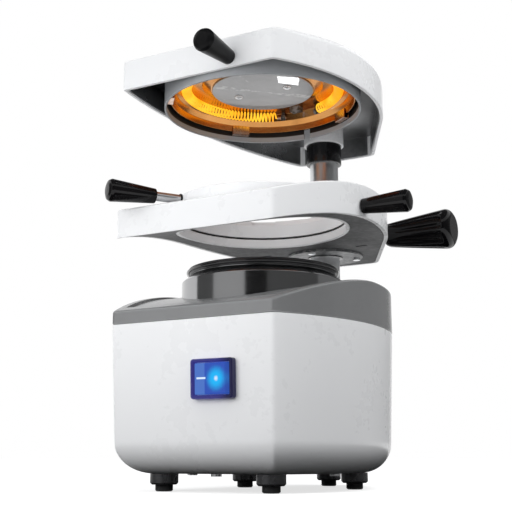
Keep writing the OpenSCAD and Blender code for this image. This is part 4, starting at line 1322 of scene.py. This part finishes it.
@dataclass
class Switch(Assembly):
    """Lit rocker in a black bezel on the front facet.

    Attributes:
        place: Centre of the bezel on the facet.
        width: Width of the bezel.
        height: Height of the bezel.
        frame: Width of the bezel's frame.
        thick: How far the bezel stands out in front of the facet.
        tilt: Rest tilt of the rocker in degrees.
        pivot: Depth of the rocker's pin behind the facet.
    """

    place: Triple = (7.0, -73.636, 67.2)
    width: float = 29.4
    height: float = 24.0
    frame: float = 2.3
    thick: float = 4.6
    tilt: float = 5.0
    pivot: float = 1.5

    def _panel(self) -> Matrix:
        """Placement of the facet: y = 0 on it, z up along it."""
        return at(*self.place) @ turned(DRAFT, "X")

    def _outline(self, less: float, r: float, y: float, steps: int = 6) -> Points:
        """A rounded rectangle, smaller than the bezel, in the facet's plane at depth y."""
        x, z = (self.width - less) / 2 - r, (self.height - less) / 2 - r
        made = []
        for cx, cz, start in ((x, z, 0), (-x, z, 90), (-x, -z, 180), (x, -z, 270)):
            for k in range(steps + 1):
                a = math.radians(start + 90 * k / steps)
                made.append((cx + r * math.cos(a), y, cz + r * math.sin(a)))
        return np.array(made)

    def _bezel(self) -> None:
        """Bezel with a rounded front and a sloping inner flank, and its body behind."""
        f, t = 2 * self.frame, self.thick
        rows = [self._outline(*shape) for shape in (
            (8.0, 0.6, 20.3), (2.8, 0.8, 20.3), (2.8, 0.8, 0.1), (0.0, 1.8, 0.05),
            (0.0, 1.8, 1.0 - t), (0.3, 1.7, 0.4 - t), (1.0, 1.5, -t), (f - 1.3, 0.9, -t),
            (f - 0.5, 0.6, 0.3 - t), (f, 0.5, 1.0 - t), (f, 0.5, 9.0), (8.0, 0.6, 9.2))]
        clay = Clay().rings(rows, closed=True, matrix=self._panel())
        self.make(clay, "switch_bezel", "switch_black", "switch_housing")

    def _rocker(self) -> None:
        """Rocker lens: two flats that meet in a shallow crease, tipped about an upright pin."""
        w, h = self.width - 2 * self.frame - 1.7, (self.height - 2 * self.frame - 0.7) / 2
        rows = []
        for share, depth in ((0.0, 2.2), (0.012, -0.1), (0.05, -0.4), (0.15, -0.15), (0.26, 0.32),
                             (0.29, 0.4), (0.33, 0.34), (0.6, -0.05), (0.93, -0.6),
                             (0.975, -0.45), (0.993, 0.1), (1.0, 2.2)):
            x, y = w * (share - 0.5), depth - self.thick - self.pivot
            half = ((1.2, h), (y + 0.8, h), (y + 0.25, h - 0.2), (y, h - 0.8), (y, h / 2))
            rows.append(np.array([(x, deep, -high) for deep, high in half]
                                 + [(x, deep, high) for deep, high in reversed(half)]))
        place = self._panel() @ at(0.0, self.pivot) @ turned(-self.tilt, "Z")
        clay = Clay().rings(rows, caps=True, matrix=place)
        self.make(clay, "switch_lens", "lit_lens", "switch_rocker", body=Body.ROCKER)

    def pieces(self) -> None:
        """Makes the bezel and the rocker."""
        self._bezel()
        self._rocker()


@dataclass
class Carriage(Assembly):
    """The sheet frame that slides on the column.

    Attributes:
        grow: How far it stands out beyond the head in plan.
        wall: Width of its lower rim.
        edge: Radius of its upper edge.
        opening: Radius of the opening.
        pocket: Radius of the pocket that holds the clamp ring.
        slot: Radius of the pocket where a lug drops in.
        seat: Height of the sheet's seat.
        scoop: Height of the scoop under the clamp's handle.
        unlock: Turn of the clamp ring, in degrees, that frees its lugs.
        top: Surface of the top.
        under: Surface of the lower edge.
    """

    body: ClassVar[Body] = Body.CARRIAGE
    kept: ClassVar[dict[str, str]] = {
        # frame_underplate: its dark grey is painted shade under the sheet frame
        "plate_steel": "frame_underplate",
        "rubber": "sheet_gasket",
        "bush_black": "slide_bush",
        "bush_plate_grey": "bush_plate",
        "zinc_screws": "bush_plate_screws right_grip_stud",
        "brass": "lock_insert",
    }
    grow: float = 1.0
    wall: float = 3.0
    edge: float = 1.1
    opening: float = 57.3
    pocket: float = 64.35
    slot: float = 66.75
    seat: float = 180.7
    scoop: float = 184.95
    unlock: float = 28.0
    top: Sweep = Sweep(196.5, 16.5)
    under: Sweep = Sweep(174.5, 13.5)

    def _pocket(self, angle: Points) -> Points:
        """Radius of the pocket, wider where a lug drops in."""
        reach = np.full(len(angle), self.pocket)
        for lug in LUGS:
            reach = np.where(off_by(angle, lug + self.unlock) < 8.0, self.slot, reach)
        return reach

    def _shell(self) -> None:
        """White moulding with its pocket, bore and lower rim."""
        loft = Loft(self.shop.plan, self.grow)
        top, under = self.top, self.under
        loft.on((self.wall, under.lifted(0.3)), (self.wall - 0.3, under), (0.5, under),
                (0.12, under.lifted(0.2)))
        loft.rise(under.lifted(0.6), top, self.edge, np.linspace(0, 1, 6))
        loft.roll(self.edge, top)
        outer, pocket = loft.reach(self.edge + 0.2), self._pocket(loft.angle)
        low = off_by(loft.angle, -109.0) < 20.0

        def worn_top(x: Points, y: Points) -> Points:
            """Top with the shallow scoop under the sweep of the clamp's handle."""
            return np.where(low, np.minimum(top(x, y), self.scoop), top(x, y))

        for share in np.linspace(0, 1, 9):
            loft.at((outer + (pocket + 0.5 - outer) * share, worn_top if share > 0.1 else top))
        inner, seat = self.opening, self.seat
        loft.at((pocket, lambda x, y: worn_top(x, y) - 0.5), (pocket, seat + 0.3),
                (self.pocket - 0.3, seat), (inner + 0.5, seat), (inner, seat - 0.5),
                (inner, under.lifted(0.5)), (inner + 0.4, under.lifted(-0.05)),
                (inner + 2.2, under.lifted(-0.05)), (inner + 2.6, under.lifted(0.4)))
        loft.cross(inner + 2.6, loft.reach(self.wall), 8, under.lifted(2.6))
        clay = Clay().rings(loft.rows, closed=True)
        self._drill(self.make(clay, "frame_case", "white_paint", "frame_shell"))

    @staticmethod
    def _drill(case: bpy.types.Object) -> None:
        """Cuts the hole for the guide bush and the spot face under the lock knob."""
        drills = [Clay().lathe(np.array([(r, low), (r, high)]), segments, place,
                               closed=False).make("drill")
                  for r, low, high, segments, place in (
                      (13.75, 150.0, 220.0, 96, at(0.0, COLUMN_Y)),
                      (9.4, 0.0, 20.0, 64, at(51.46, COLUMN_Y, 185.5) @ turned(90, "Y")))]
        for drill in drills:
            cut = case.modifiers.new("hole", "BOOLEAN")
            cut.operation, cut.solver, cut.object = "DIFFERENCE", "EXACT", drill
        bpy.context.view_layer.update()
        graph = bpy.context.evaluated_depsgraph_get()
        mesh = bpy.data.meshes.new_from_object(case.evaluated_get(graph))
        case.modifiers.clear()
        case.data = mesh
        for drill in drills:
            bpy.data.objects.remove(drill)
        mesh.shade_smooth()
        mesh.set_sharp_from_angle(angle=math.radians(SHARP))

    def pieces(self) -> None:
        """Makes the moulding and the fixed grip."""
        self._shell()
        x, _, r = self.shop.plan.right
        wall = x + math.sqrt((r + self.grow) ** 2 - 16.0 ** 2)
        grip = Grip().shape(at(wall + 0.15, -4.0, 180.9) @ turned(90, "Y"))
        self.make(grip, "side_grip", "grip_black", "right_grip")


@dataclass
class Clamp(Assembly):
    """Ring that holds the sheet down, with its handle.

    Attributes:
        low: Height of its underside.
        lift: Height of the handle above the underside.
        handle: Direction of the handle in degrees.
    """

    body: ClassVar[Body] = Body.CLAMP
    low: float = 182.05
    lift: float = 6.4
    handle: float = -123.0

    def pieces(self) -> None:
        """Makes the ring, the handle's stem with its seal, and its grip."""
        z = self.low
        profile = soften([(57.3, z), (64.0, z), (64.0, z + 1.6), (62.0, z + 1.6, 0.6),
                          (62.0, z + 9.8, 0.9), (57.3, z + 9.8, 0.9)], 0.35, 4, closed=True)
        clay = Clay().lathe(profile, 256)
        for lug in LUGS:
            clay.block((5.0, 14.0, 1.5), 0.4, turned(lug, "Z") @ at(63.9, 0.0, z + 0.8))
        self.make(clay, "clamp_collar", "white_paint", "clamp_ring")
        place = at(0.0, 0.0, z + self.lift) @ turned(self.handle, "Z") @ turned(90, "Y")
        self.turn([(0.05, 60.0), (3.1, 60.0), (3.1, 91.0), (0.05, 91.0)], (0.2, 2), 64,
                  "clamp_stem", "chrome_tube", "handle_stem", place=place, closed=False)
        self.turn([(3.15, 62.1), (3.9, 62.1), (3.5, 63.0), (3.15, 63.4)], (0.1, 2), 64,
                  "stem_seal", "rubber", place=place)
        grip = Grip().shape(place @ at(0.0, 0.0, 80.5))
        self.make(grip, "clamp_grip", "grip_black", "left_grip")


@dataclass
class ColumnLock(Assembly):
    """Fluted knob whose screw holds the frame on the column.

    Attributes:
        place: Root of the knob on its axis.
        length: Length of the knob.
        root: Radius at its root.
        end: Radius at its end.
        flutes: Number of flutes.
        groove: Depth of a flute.
        dome: Share of the length at which the domed end begins.
        pole: Share of the length at which the dome would close.
        swell: Power by which the radius grows up to the dome.
        bulge: Power of the dome's curve.
        fluted: Shares at which the flutes are full and where they end, and how fast they end.
    """

    body: ClassVar[Body] = Body.LOCK
    kept: ClassVar[dict[str, str]] = {"zinc_screws": "lock_screw", "nylon": "lock_pad"}
    place: Triple = (51.86, COLUMN_Y, 185.5)
    length: float = 52.0
    root: float = 8.6
    end: float = 14.7
    flutes: int = 8
    groove: float = 1.15
    dome: float = 0.885
    pole: float = 1.03
    swell: float = 0.92
    bulge: float = 2.4
    fluted: Triple = (0.25, 0.9, 0.06)

    def _reach(self, share: float, angle: Points) -> Points:
        """Radius of the knob, with its flutes, at a share of its length."""
        plain = self.root + (self.end - self.root) * min(share / self.dome, 1.0) ** self.swell
        if share > self.dome:
            out = (share - self.dome) / (self.pole - self.dome)
            plain = self.end * math.sqrt(1.0 - out ** self.bulge)
        wave = np.maximum(np.cos(self.flutes * angle), 0.0) ** 2.0
        full, end, fade = self.fluted
        deep = self.groove * min(share / full, 1.0) * min(max((end - share) / fade, 0.0), 1.0)
        return plain - deep * wave

    def pieces(self) -> None:
        """Makes the knob."""
        angle = np.linspace(0, 2 * math.pi, 144, endpoint=False) + math.pi / 8
        shares = [*np.linspace(0.0, self.dome, 24),
                  *(1.0 - (1.0 - self.dome) * np.linspace(0.9, 0.0, 14) ** 1.6)]
        rows = [row(angle, 0.05, 0.0), row(angle, self._reach(0.0, angle) - 0.7, 0.0)]
        rows += [row(angle, self._reach(share, angle), self.length * share)
                 for share in shares[1:]]
        clay = Clay().rings(rows, caps=True, matrix=at(*self.place) @ turned(90, "Y"))
        self.make(clay, "lock_handle", "grip_black", "lock_knob")


@dataclass
class Head(Assembly):
    """The heater head that swings on top of the column.

    Attributes:
        low: Height of the shell's lower edge.
        level: Height of the level top.
        drop: Fall of the top at the facet.
        wall: Wall thickness.
        ceiling: Height of the shell's inner top.
        curls: Curls in the heating coil.
        coil_r: Radius of the circle that the coil follows.
        curl_r: Radius of a curl.
        wire_r: Radius of the wire.
        coil_z: Height of the coil's middle.
        span: First and last direction of the coil in degrees.
        points: Points in each curl.
        sag: How far the coil waves up and down.
        clips: Directions of the reflector's clips in degrees.
        screws: Distance of the plate's screws from its middle.
        plate: Height of the satin plate's lower side.
        cap_r: Radius of the cap over the pivot screw.
    """

    body: ClassVar[Body] = Body.HEAD
    kept: ClassVar[dict[str, str]] = {
        "lining_dark": "head_lining",
        "clip_steel": "coil_terminals",
        "insulator_dark": "terminal_insulators",
        "ceramic": "ceramic_block",
        "zinc_screws": "head_grip_stud",
    }
    low: float = 264.5
    level: float = 290.0
    drop: float = 5.0
    wall: float = 2.5
    ceiling: float = 282.1
    curls: int = 118
    coil_r: float = 54.0
    curl_r: float = 3.1
    wire_r: float = 0.58
    coil_z: float = 276.1
    span: tuple[float, float] = (108.0, 428.0)
    points: int = 12
    sag: float = 0.18
    clips: Triple = (54.6, 133.7, 218.0)
    screws: float = 19.5
    plate: float = 275.5
    cap_r: float = 9.2

    def _shell(self) -> None:
        """White shell with crisp front edges and softer rear ones, and its column boss."""
        loft = Loft(self.shop.plan)
        top, low, wall, angle = Sweep(self.level, self.drop), self.low, self.wall, loft.angle
        front, more, left = 1.2, 3.4, 1.6
        edge = front + more * np.clip((off_by(angle, -95.0) - 40.0) / 14.0, 0.0, 1.0)
        edge = np.where(off_by(angle, 180.0) < 50.0, left, edge)
        loft.on((wall, self.ceiling), (wall, low + 0.5), (wall - 0.3, low), (0.6, low),
                (0.18, low + 0.22), (0.0, low + 0.8))
        loft.rise(low + 0.8, top, edge, np.linspace(0, 1, 5)[1:])
        full = loft.reach(0.0)
        for a in quarter(7):
            loft.at((full - edge * (1 - math.cos(a)), top.lifted(-edge * (1 - math.sin(a)))))
        loft.at(*(((full - edge) * (1 - share), top) for share in np.linspace(0, 1, 14)[1:-1]),
                (0.4, top))
        clay = Clay().rings(loft.rows)
        clay.rings([loft.rows[0], row(angle, 0.4, self.ceiling)])
        boss = soften([(13.85, 264.0), (15.8, 264.0, 0.6), (15.8, 282.0), (13.85, 282.0)],
                      0.3, 3, closed=True)
        clay.lathe(boss, 96, at(0.0, COLUMN_Y))
        self.make(clay, "head_case", "white_paint", "head_shell")

    def _shroud(self) -> None:
        """Ring round the heater, with a slot that faces the column."""
        inner, outer, high, low, slot = 67.8, 69.3, 281.1, 260.5, 268.0
        middle, half = 88.4, math.degrees(2.7 / outer)
        clay = Clay()
        for start, end, steps, z in ((middle + half, middle + 360 - half, 300, low),
                                     (middle - half, middle + half, 9, slot)):
            profile = soften([(inner, high), (inner, z), (outer, z), (outer, high)], 0.45, 3,
                             closed=True)
            angle = np.radians(np.linspace(start, end, steps))
            rows = np.stack([row(angle, r, height) for r, height in profile], axis=1)
            clay.rings(list(rows), caps=True)
        self.make(clay, "heater_ring", "shroud_grey", "heater_shroud")

    def _reflector(self) -> None:
        """Polished dish, tinted orange as a painted reflection of the coil's glow, with a groove
        for the coil, and the satin plate in its middle.
        """
        self.turn([
            (0.1, 276.6), (36.8, 276.6, 1.5), (43.0, 280.0, 2.0), (58.1, 280.0, 3.0),
            (62.3, 275.8, 3.0), (64.1, 271.8, 2.0), (64.7, 267.3), (65.5, 267.3),
            (64.9, 271.8, 2.0), (63.1, 276.2, 3.0), (58.5, 280.8, 3.0), (42.4, 280.8, 2.0),
            (36.6, 277.4, 1.5), (0.1, 277.4)
        ], (0.25, 6), 200, "reflector_dish", "reflector_bright", "reflector", closed=False)
        self.turn([(0.1, 276.6), (36.0, 276.6), (36.0, self.plate, 0.5), (0.1, self.plate)],
                  (0.2, 3), 160, "centre_disc", "plate_satin", "centre_plate", closed=False,
                  finish="centre_satin")

    def _screws(self) -> None:
        """Two pan-head screws with a cross recess that hold the satin plate."""
        angle = np.linspace(0, 2 * math.pi, 64, endpoint=False)
        star = 0.42 + 1.15 * np.abs(np.cos(2 * angle)) ** 5
        rows = [row(angle, r, z) for r, z in (
            (1.5, -6.0), (1.5, 0.0), (2.9, 0.0), (2.9, 0.55), (2.75, 0.85), (2.4, 1.1),
            (1.95, 1.28), (1.75, 1.32), (star, 1.3), (star * 0.9, 0.9), (star * 0.5, 0.35))]
        clay = Clay()
        for x in (-self.screws, self.screws):
            clay.rings(rows, caps=True, matrix=at(x, 0.0, self.plate) @ turned(180, "X"))
        self.make(clay, "plate_screws", "zinc_screws", "centre_screws")

    def _clips(self) -> None:
        """Bent tabs that hold the dish's rim to the ring."""
        clay = Clay()
        for a in self.clips:
            for size, radius, x, z in (((0.7, 13.0, 10.7), 0.15, 66.95, 269.95),
                                       ((4.3, 13.0, 0.9), 0.2, 65.05, 265.0),
                                       ((0.7, 13.0, 7.0), 0.15, 63.25, 268.1)):
                clay.block(size, radius, turned(a, "Z") @ at(x, 0.0, z), steps=1)
        self.make(clay, "dish_clips", "clip_steel", "reflector_clips")

    def _coil(self) -> None:
        """Glowing coil that sags a little, with short straight ends."""
        steps = self.curls * self.points
        t = np.arange(steps + 1) / steps
        start, end = self.span
        a = np.radians(start + (end - start) * t)
        c = 2 * math.pi * self.curls * t
        path = row(a, self.coil_r + self.curl_r * np.cos(c), self.coil_z)
        path[:, 2] += self.curl_r * np.sin(c) + self.sag * np.sin(3.0 * a)
        ahead, behind = (np.array((-math.sin(a[i]), math.cos(a[i]), 0.0)) for i in (-1, 0))
        path = np.vstack(([path[0] - behind * d for d in (1.4, 0.7)], path,
                          [path[-1] + ahead * d for d in (0.7, 1.4)]))
        clay = Clay().tube(path, self.wire_r, 8)
        self.make(clay, "coil_wire", "hot_wire", "heating_coil", sharp=80.0)

    def _bush(self) -> None:
        """Long black bush on which the head turns."""
        self.turn([(11.16, 248.5), (13.8, 248.5, 0.7), (13.8, 281.3), (11.16, 281.3)], (0.3, 4),
                  96, "swing_bush", "bush_black", "head_bush", place=at(0.0, COLUMN_Y))

    def _cap(self) -> None:
        """Flat cap over the pivot screw, a hair proud of the shell's top."""
        high, low = self.level + 0.35, self.level - 1.5
        self.turn([(0.05, high), (self.cap_r, high, 0.3), (self.cap_r, low), (0.05, low)],
                  (0.2, 4), 96, "pivot_cover", "white_paint", "pivot_cap",
                  place=at(0.0, COLUMN_Y), closed=False)

    def pieces(self) -> None:
        """Makes the shell, the heater, the bush, the cap and the grip."""
        for make in (self._shell, self._shroud, self._reflector, self._screws, self._clips,
                     self._coil, self._bush, self._cap):
            make()
        grip = Grip().shape(at(15.0, -73.15, 271.0) @ turned(90, "X"))
        self.make(grip, "top_grip", "grip_black", "head_grip", finish="grip_matt")


# Studio


def blank(owner: bpy.types.Material | bpy.types.World, output: str) -> tuple[NodeDesk, Link]:
    """Empties a material's or a world's tree.

    Args:
        owner: The material or the world.
        output: Blender's name of its output node.

    Returns:
        The tree's desk and the socket of the surface.
    """
    owner.use_nodes = True
    owner.node_tree.nodes.clear()
    desk = NodeDesk(owner.node_tree)
    return desk, desk.node(output).inputs["Surface"]


def backdrop(name: str, verts: list, faces: list) -> tuple[bpy.types.Object, NodeDesk, Link]:
    """Makes a stage object with an empty material.

    Args:
        name: Name of the object and of its material.
        verts: Its points in metres.
        faces: Its faces.

    Returns:
        The object, the desk of its material and the socket of the surface.
    """
    mesh = bpy.data.meshes.new(name)
    mesh.from_pydata(verts, [], faces)
    made = placed(name, mesh)
    material = bpy.data.materials.new(name)
    mesh.materials.append(material)
    return made, *blank(material, "ShaderNodeOutputMaterial")


def aim(thing: bpy.types.Object, place: Triple, way: Vector) -> None:
    """Stands a camera or a lamp at a place so that it looks along a way."""
    thing.location = place
    thing.rotation_mode = "QUATERNION"
    thing.rotation_quaternion = way.to_track_quat("-Z", "Y")


@dataclass(frozen=True)
class Card:
    """A light or dark card that only shows in reflections.

    Attributes:
        name: Its name.
        tone: How bright it looks, 1 for white.
        corners: Its outline as two rows of points in metres.
    """

    name: str
    tone: float
    corners: Points

    @classmethod
    def wall(cls, name: str, tone: float, start: float, end: float) -> "Card":
        """A card that stands round the object.

        Args:
            name: Its name.
            tone: Its brightness.
            start: First direction in degrees.
            end: Last direction in degrees.

        Returns:
            The card.
        """
        radius, low, high = 1.6, -0.02, 1.15
        angle = np.radians(np.linspace(start, end, 24))
        return cls(name, tone, np.stack([row(angle, radius, z) for z in (low, high)]))

    @classmethod
    def disc(cls, name: str, tone: float, radius: float, height: float) -> "Card":
        """A level disc over the object or under it."""
        angle = np.linspace(0, 2 * math.pi, 65)
        rows = np.stack([row(angle, reach, height) for reach in (0.0, radius)])
        return cls(name, tone, rows + MIDDLE)

    def build(self) -> None:
        """Makes the card as a stage object that glossy rays alone see."""
        count = self.corners.shape[1]
        made, desk, surface = backdrop(
            self.name, self.corners.reshape(-1, 3).tolist(),
            [(i, i + 1, count + i + 1, count + i) for i in range(count - 1)])
        glow = desk.node("ShaderNodeEmission")
        glow.inputs["Strength"].default_value = self.tone
        desk.wire(glow.outputs[0], surface)
        made.visible_camera = made.visible_diffuse = made.visible_transmission = False
        made.visible_shadow = made.visible_volume_scatter = False


CARDS: tuple[Card, ...] = (
    Card.wall("card_left", 0.12, 195.0, 227.0),
    Card.wall("card_front_left", 0.52, 227.0, 274.0),
    Card.wall("card_front", 0.015, 274.0, 304.0),
    Card.wall("card_right", 0.11, 304.0, 380.0),
    Card.wall("card_back_right", 0.24, 380.0, 453.0),
    Card.disc("card_above", 0.08, 1.25, 1.5),
    Card.disc("card_below", 0.015, 0.3, 0.0006),
    Card("card_window", 12.0, np.array([[(-0.2735, 0.5478, 0.008), (-0.2483, 0.5682, 0.008)],
                                       [(-0.2846, 0.5732, 0.008), (-0.2642, 0.5960, 0.008)]])),
)


@dataclass
class Studio:
    """Camera, floor, world and lamps.

    Attributes:
        eye: Place of the camera in metres.
        forward: Horizontal direction of view.
        pitch: How far the camera looks up, in radians.
        lens: Focal length for a 36 mm wide frame.
        far: Half the side of the floor in metres.
        sky: Colour of the light's own sky.
        sky_way: Direction in which the sky grows brighter.
        sky_power: Strength of the sky on its weak and on its bright side.
        mat: Radii in metres over which the floor turns from dark to pale.
        mat_tones: Its tone inside and outside them.
    """

    eye: Triple = (0.3082, -0.5682, 0.021)
    forward: tuple[float, float] = (-0.4832, 0.8755)
    pitch: float = 0.2063
    lens: float = 67.67
    far: float = 12.0
    sky: Colour = (0.97, 0.985, 1.0)
    sky_way: Triple = (-0.5, -0.7, 0.5)
    sky_power: tuple[float, float] = (0.26, 0.78)
    mat: tuple[float, float] = (0.22, 0.55)
    mat_tones: tuple[float, float] = (0.012, 0.75)

    def camera(self) -> None:
        """Places the camera as the photograph's was."""
        data = bpy.data.cameras.new("camera")
        data.lens, data.sensor_width = self.lens, 36.0
        data.clip_start, data.clip_end = 0.01, 50.0
        made = placed("camera", data)
        level = math.cos(self.pitch)
        aim(made, self.eye, Vector((self.forward[0] * level, self.forward[1] * level,
                                    math.sin(self.pitch))))
        bpy.context.scene.camera = made

    @staticmethod
    def _either(desk: NodeDesk, surface: Link, light: Link, seen: Link) -> None:
        """Shows one shader to the light's own rays and another to the eye and in metal."""
        path = desk.node("ShaderNodeLightPath").outputs
        share = desk.math("MAXIMUM", path["Is Camera Ray"], path["Is Glossy Ray"])
        share = desk.math("MAXIMUM", share, path["Is Transmission Ray"])
        pick = desk.node("ShaderNodeMixShader")
        for place, source in enumerate((share, light, seen)):
            desk.wire(source, pick.inputs[place])
        desk.wire(pick.outputs[0], surface)

    def world(self) -> None:
        """White to the eye and in metal; a soft sky for the light itself."""
        world = bpy.data.worlds.new("studio")
        bpy.context.scene.world = world
        desk, surface = blank(world, "ShaderNodeOutputWorld")
        light, back = desk.node("ShaderNodeBackground"), desk.node("ShaderNodeBackground")
        light.inputs["Color"].default_value = (*self.sky, 1.0)
        toward = desk.node("ShaderNodeVectorMath", operation="DOT_PRODUCT")
        desk.wire(desk.node("ShaderNodeTexCoord").outputs["Generated"], toward.inputs[0])
        toward.inputs[1].default_value = self.sky_way
        desk.wire(desk.spread(toward.outputs["Value"], -0.9, 0.9, *self.sky_power),
                  light.inputs["Strength"])
        back.inputs["Color"].default_value = (1.0, 1.0, 1.0, 1.0)
        self._either(desk, surface, light.outputs[0], back.outputs[0])

    def floor(self) -> None:
        """Pale floor that keeps the object's shadow and meets the white background.

        For the light's own rays it is dark under the object and pale further out.
        """
        corners = [(x * self.far, y * self.far, 0) for x, y in ((-1, -1), (1, -1), (1, 1), (-1, 1))]
        _, desk, surface = backdrop("floor", corners, [(0, 1, 2, 3)])
        plain, pale = desk.node("ShaderNodeBsdfDiffuse"), desk.node("ShaderNodeBsdfDiffuse")
        glow, both = desk.node("ShaderNodeEmission"), desk.node("ShaderNodeAddShader")
        parts = desk.axes(desk.where())
        reach = desk.length(parts["X"], desk.math("SUBTRACT", parts["Y"], MIDDLE[1]))
        desk.wire(desk.spread(reach, *self.mat, *self.mat_tones), plain.inputs["Color"])
        pale.inputs["Color"].default_value = (0.5, 0.5, 0.5, 1.0)
        glow.inputs["Color"].default_value = (1.0, 1.0, 1.0, 1.0)
        glow.inputs["Strength"].default_value = 0.72
        desk.wire(pale.outputs[0], both.inputs[0])
        desk.wire(glow.outputs[0], both.inputs[1])
        self._either(desk, surface, plain.outputs[0], both.outputs[0])

    @staticmethod
    def lamp(name: str, place: Triple, target: Triple, size: float, power: float) -> None:
        """Adds a square soft lamp.

        Args:
            name: Its name.
            place: Where it stands, in metres.
            target: Where it points, in metres.
            size: Its side, in metres.
            power: Its power in watts.
        """
        data = bpy.data.lights.new(name, "AREA")
        data.shape, data.size, data.energy = "SQUARE", size, power
        made = placed(name, data)
        made.visible_glossy = made.visible_camera = False
        aim(made, place, Vector(target) - Vector(place))

    def build(self) -> None:
        """Sets up the whole studio."""
        self.camera()
        self.world()
        self.floor()
        for card in CARDS:
            card.build()
        for lamp in (("key_lamp", (-0.4, -1.0, 0.40), (0.0, 0.0, 0.13), 0.6, 2.0),
                     ("near_lamp", (-0.05, -0.29, 0.15), (-0.03, 0.0, 0.15), 0.2, 0.24),
                     ("side_lamp", (0.85, 0.12, 1.1), (0.0, 0.03, 0.17), 0.8, 10.0)):
            self.lamp(*lamp)
        bpy.context.scene.view_settings.view_transform = "Standard"


def main() -> None:
    """Builds the studio and the sub-assemblies in order."""
    logging.basicConfig(level=logging.INFO, format="%(name)s: %(message)s")
    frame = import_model()
    Studio().build()
    shop = Workshop(frame, Paintshop(Effects().build()))
    for part in (Base(shop), Switch(shop), Carriage(shop), Clamp(shop), ColumnLock(shop),
                 Head(shop)):
        part.build()
        LOG.info("%s done, %d pieces so far", type(part).__name__, len(shop.log))
    bpy.context.view_layer.update()


if __name__ == "__main__":
    main()
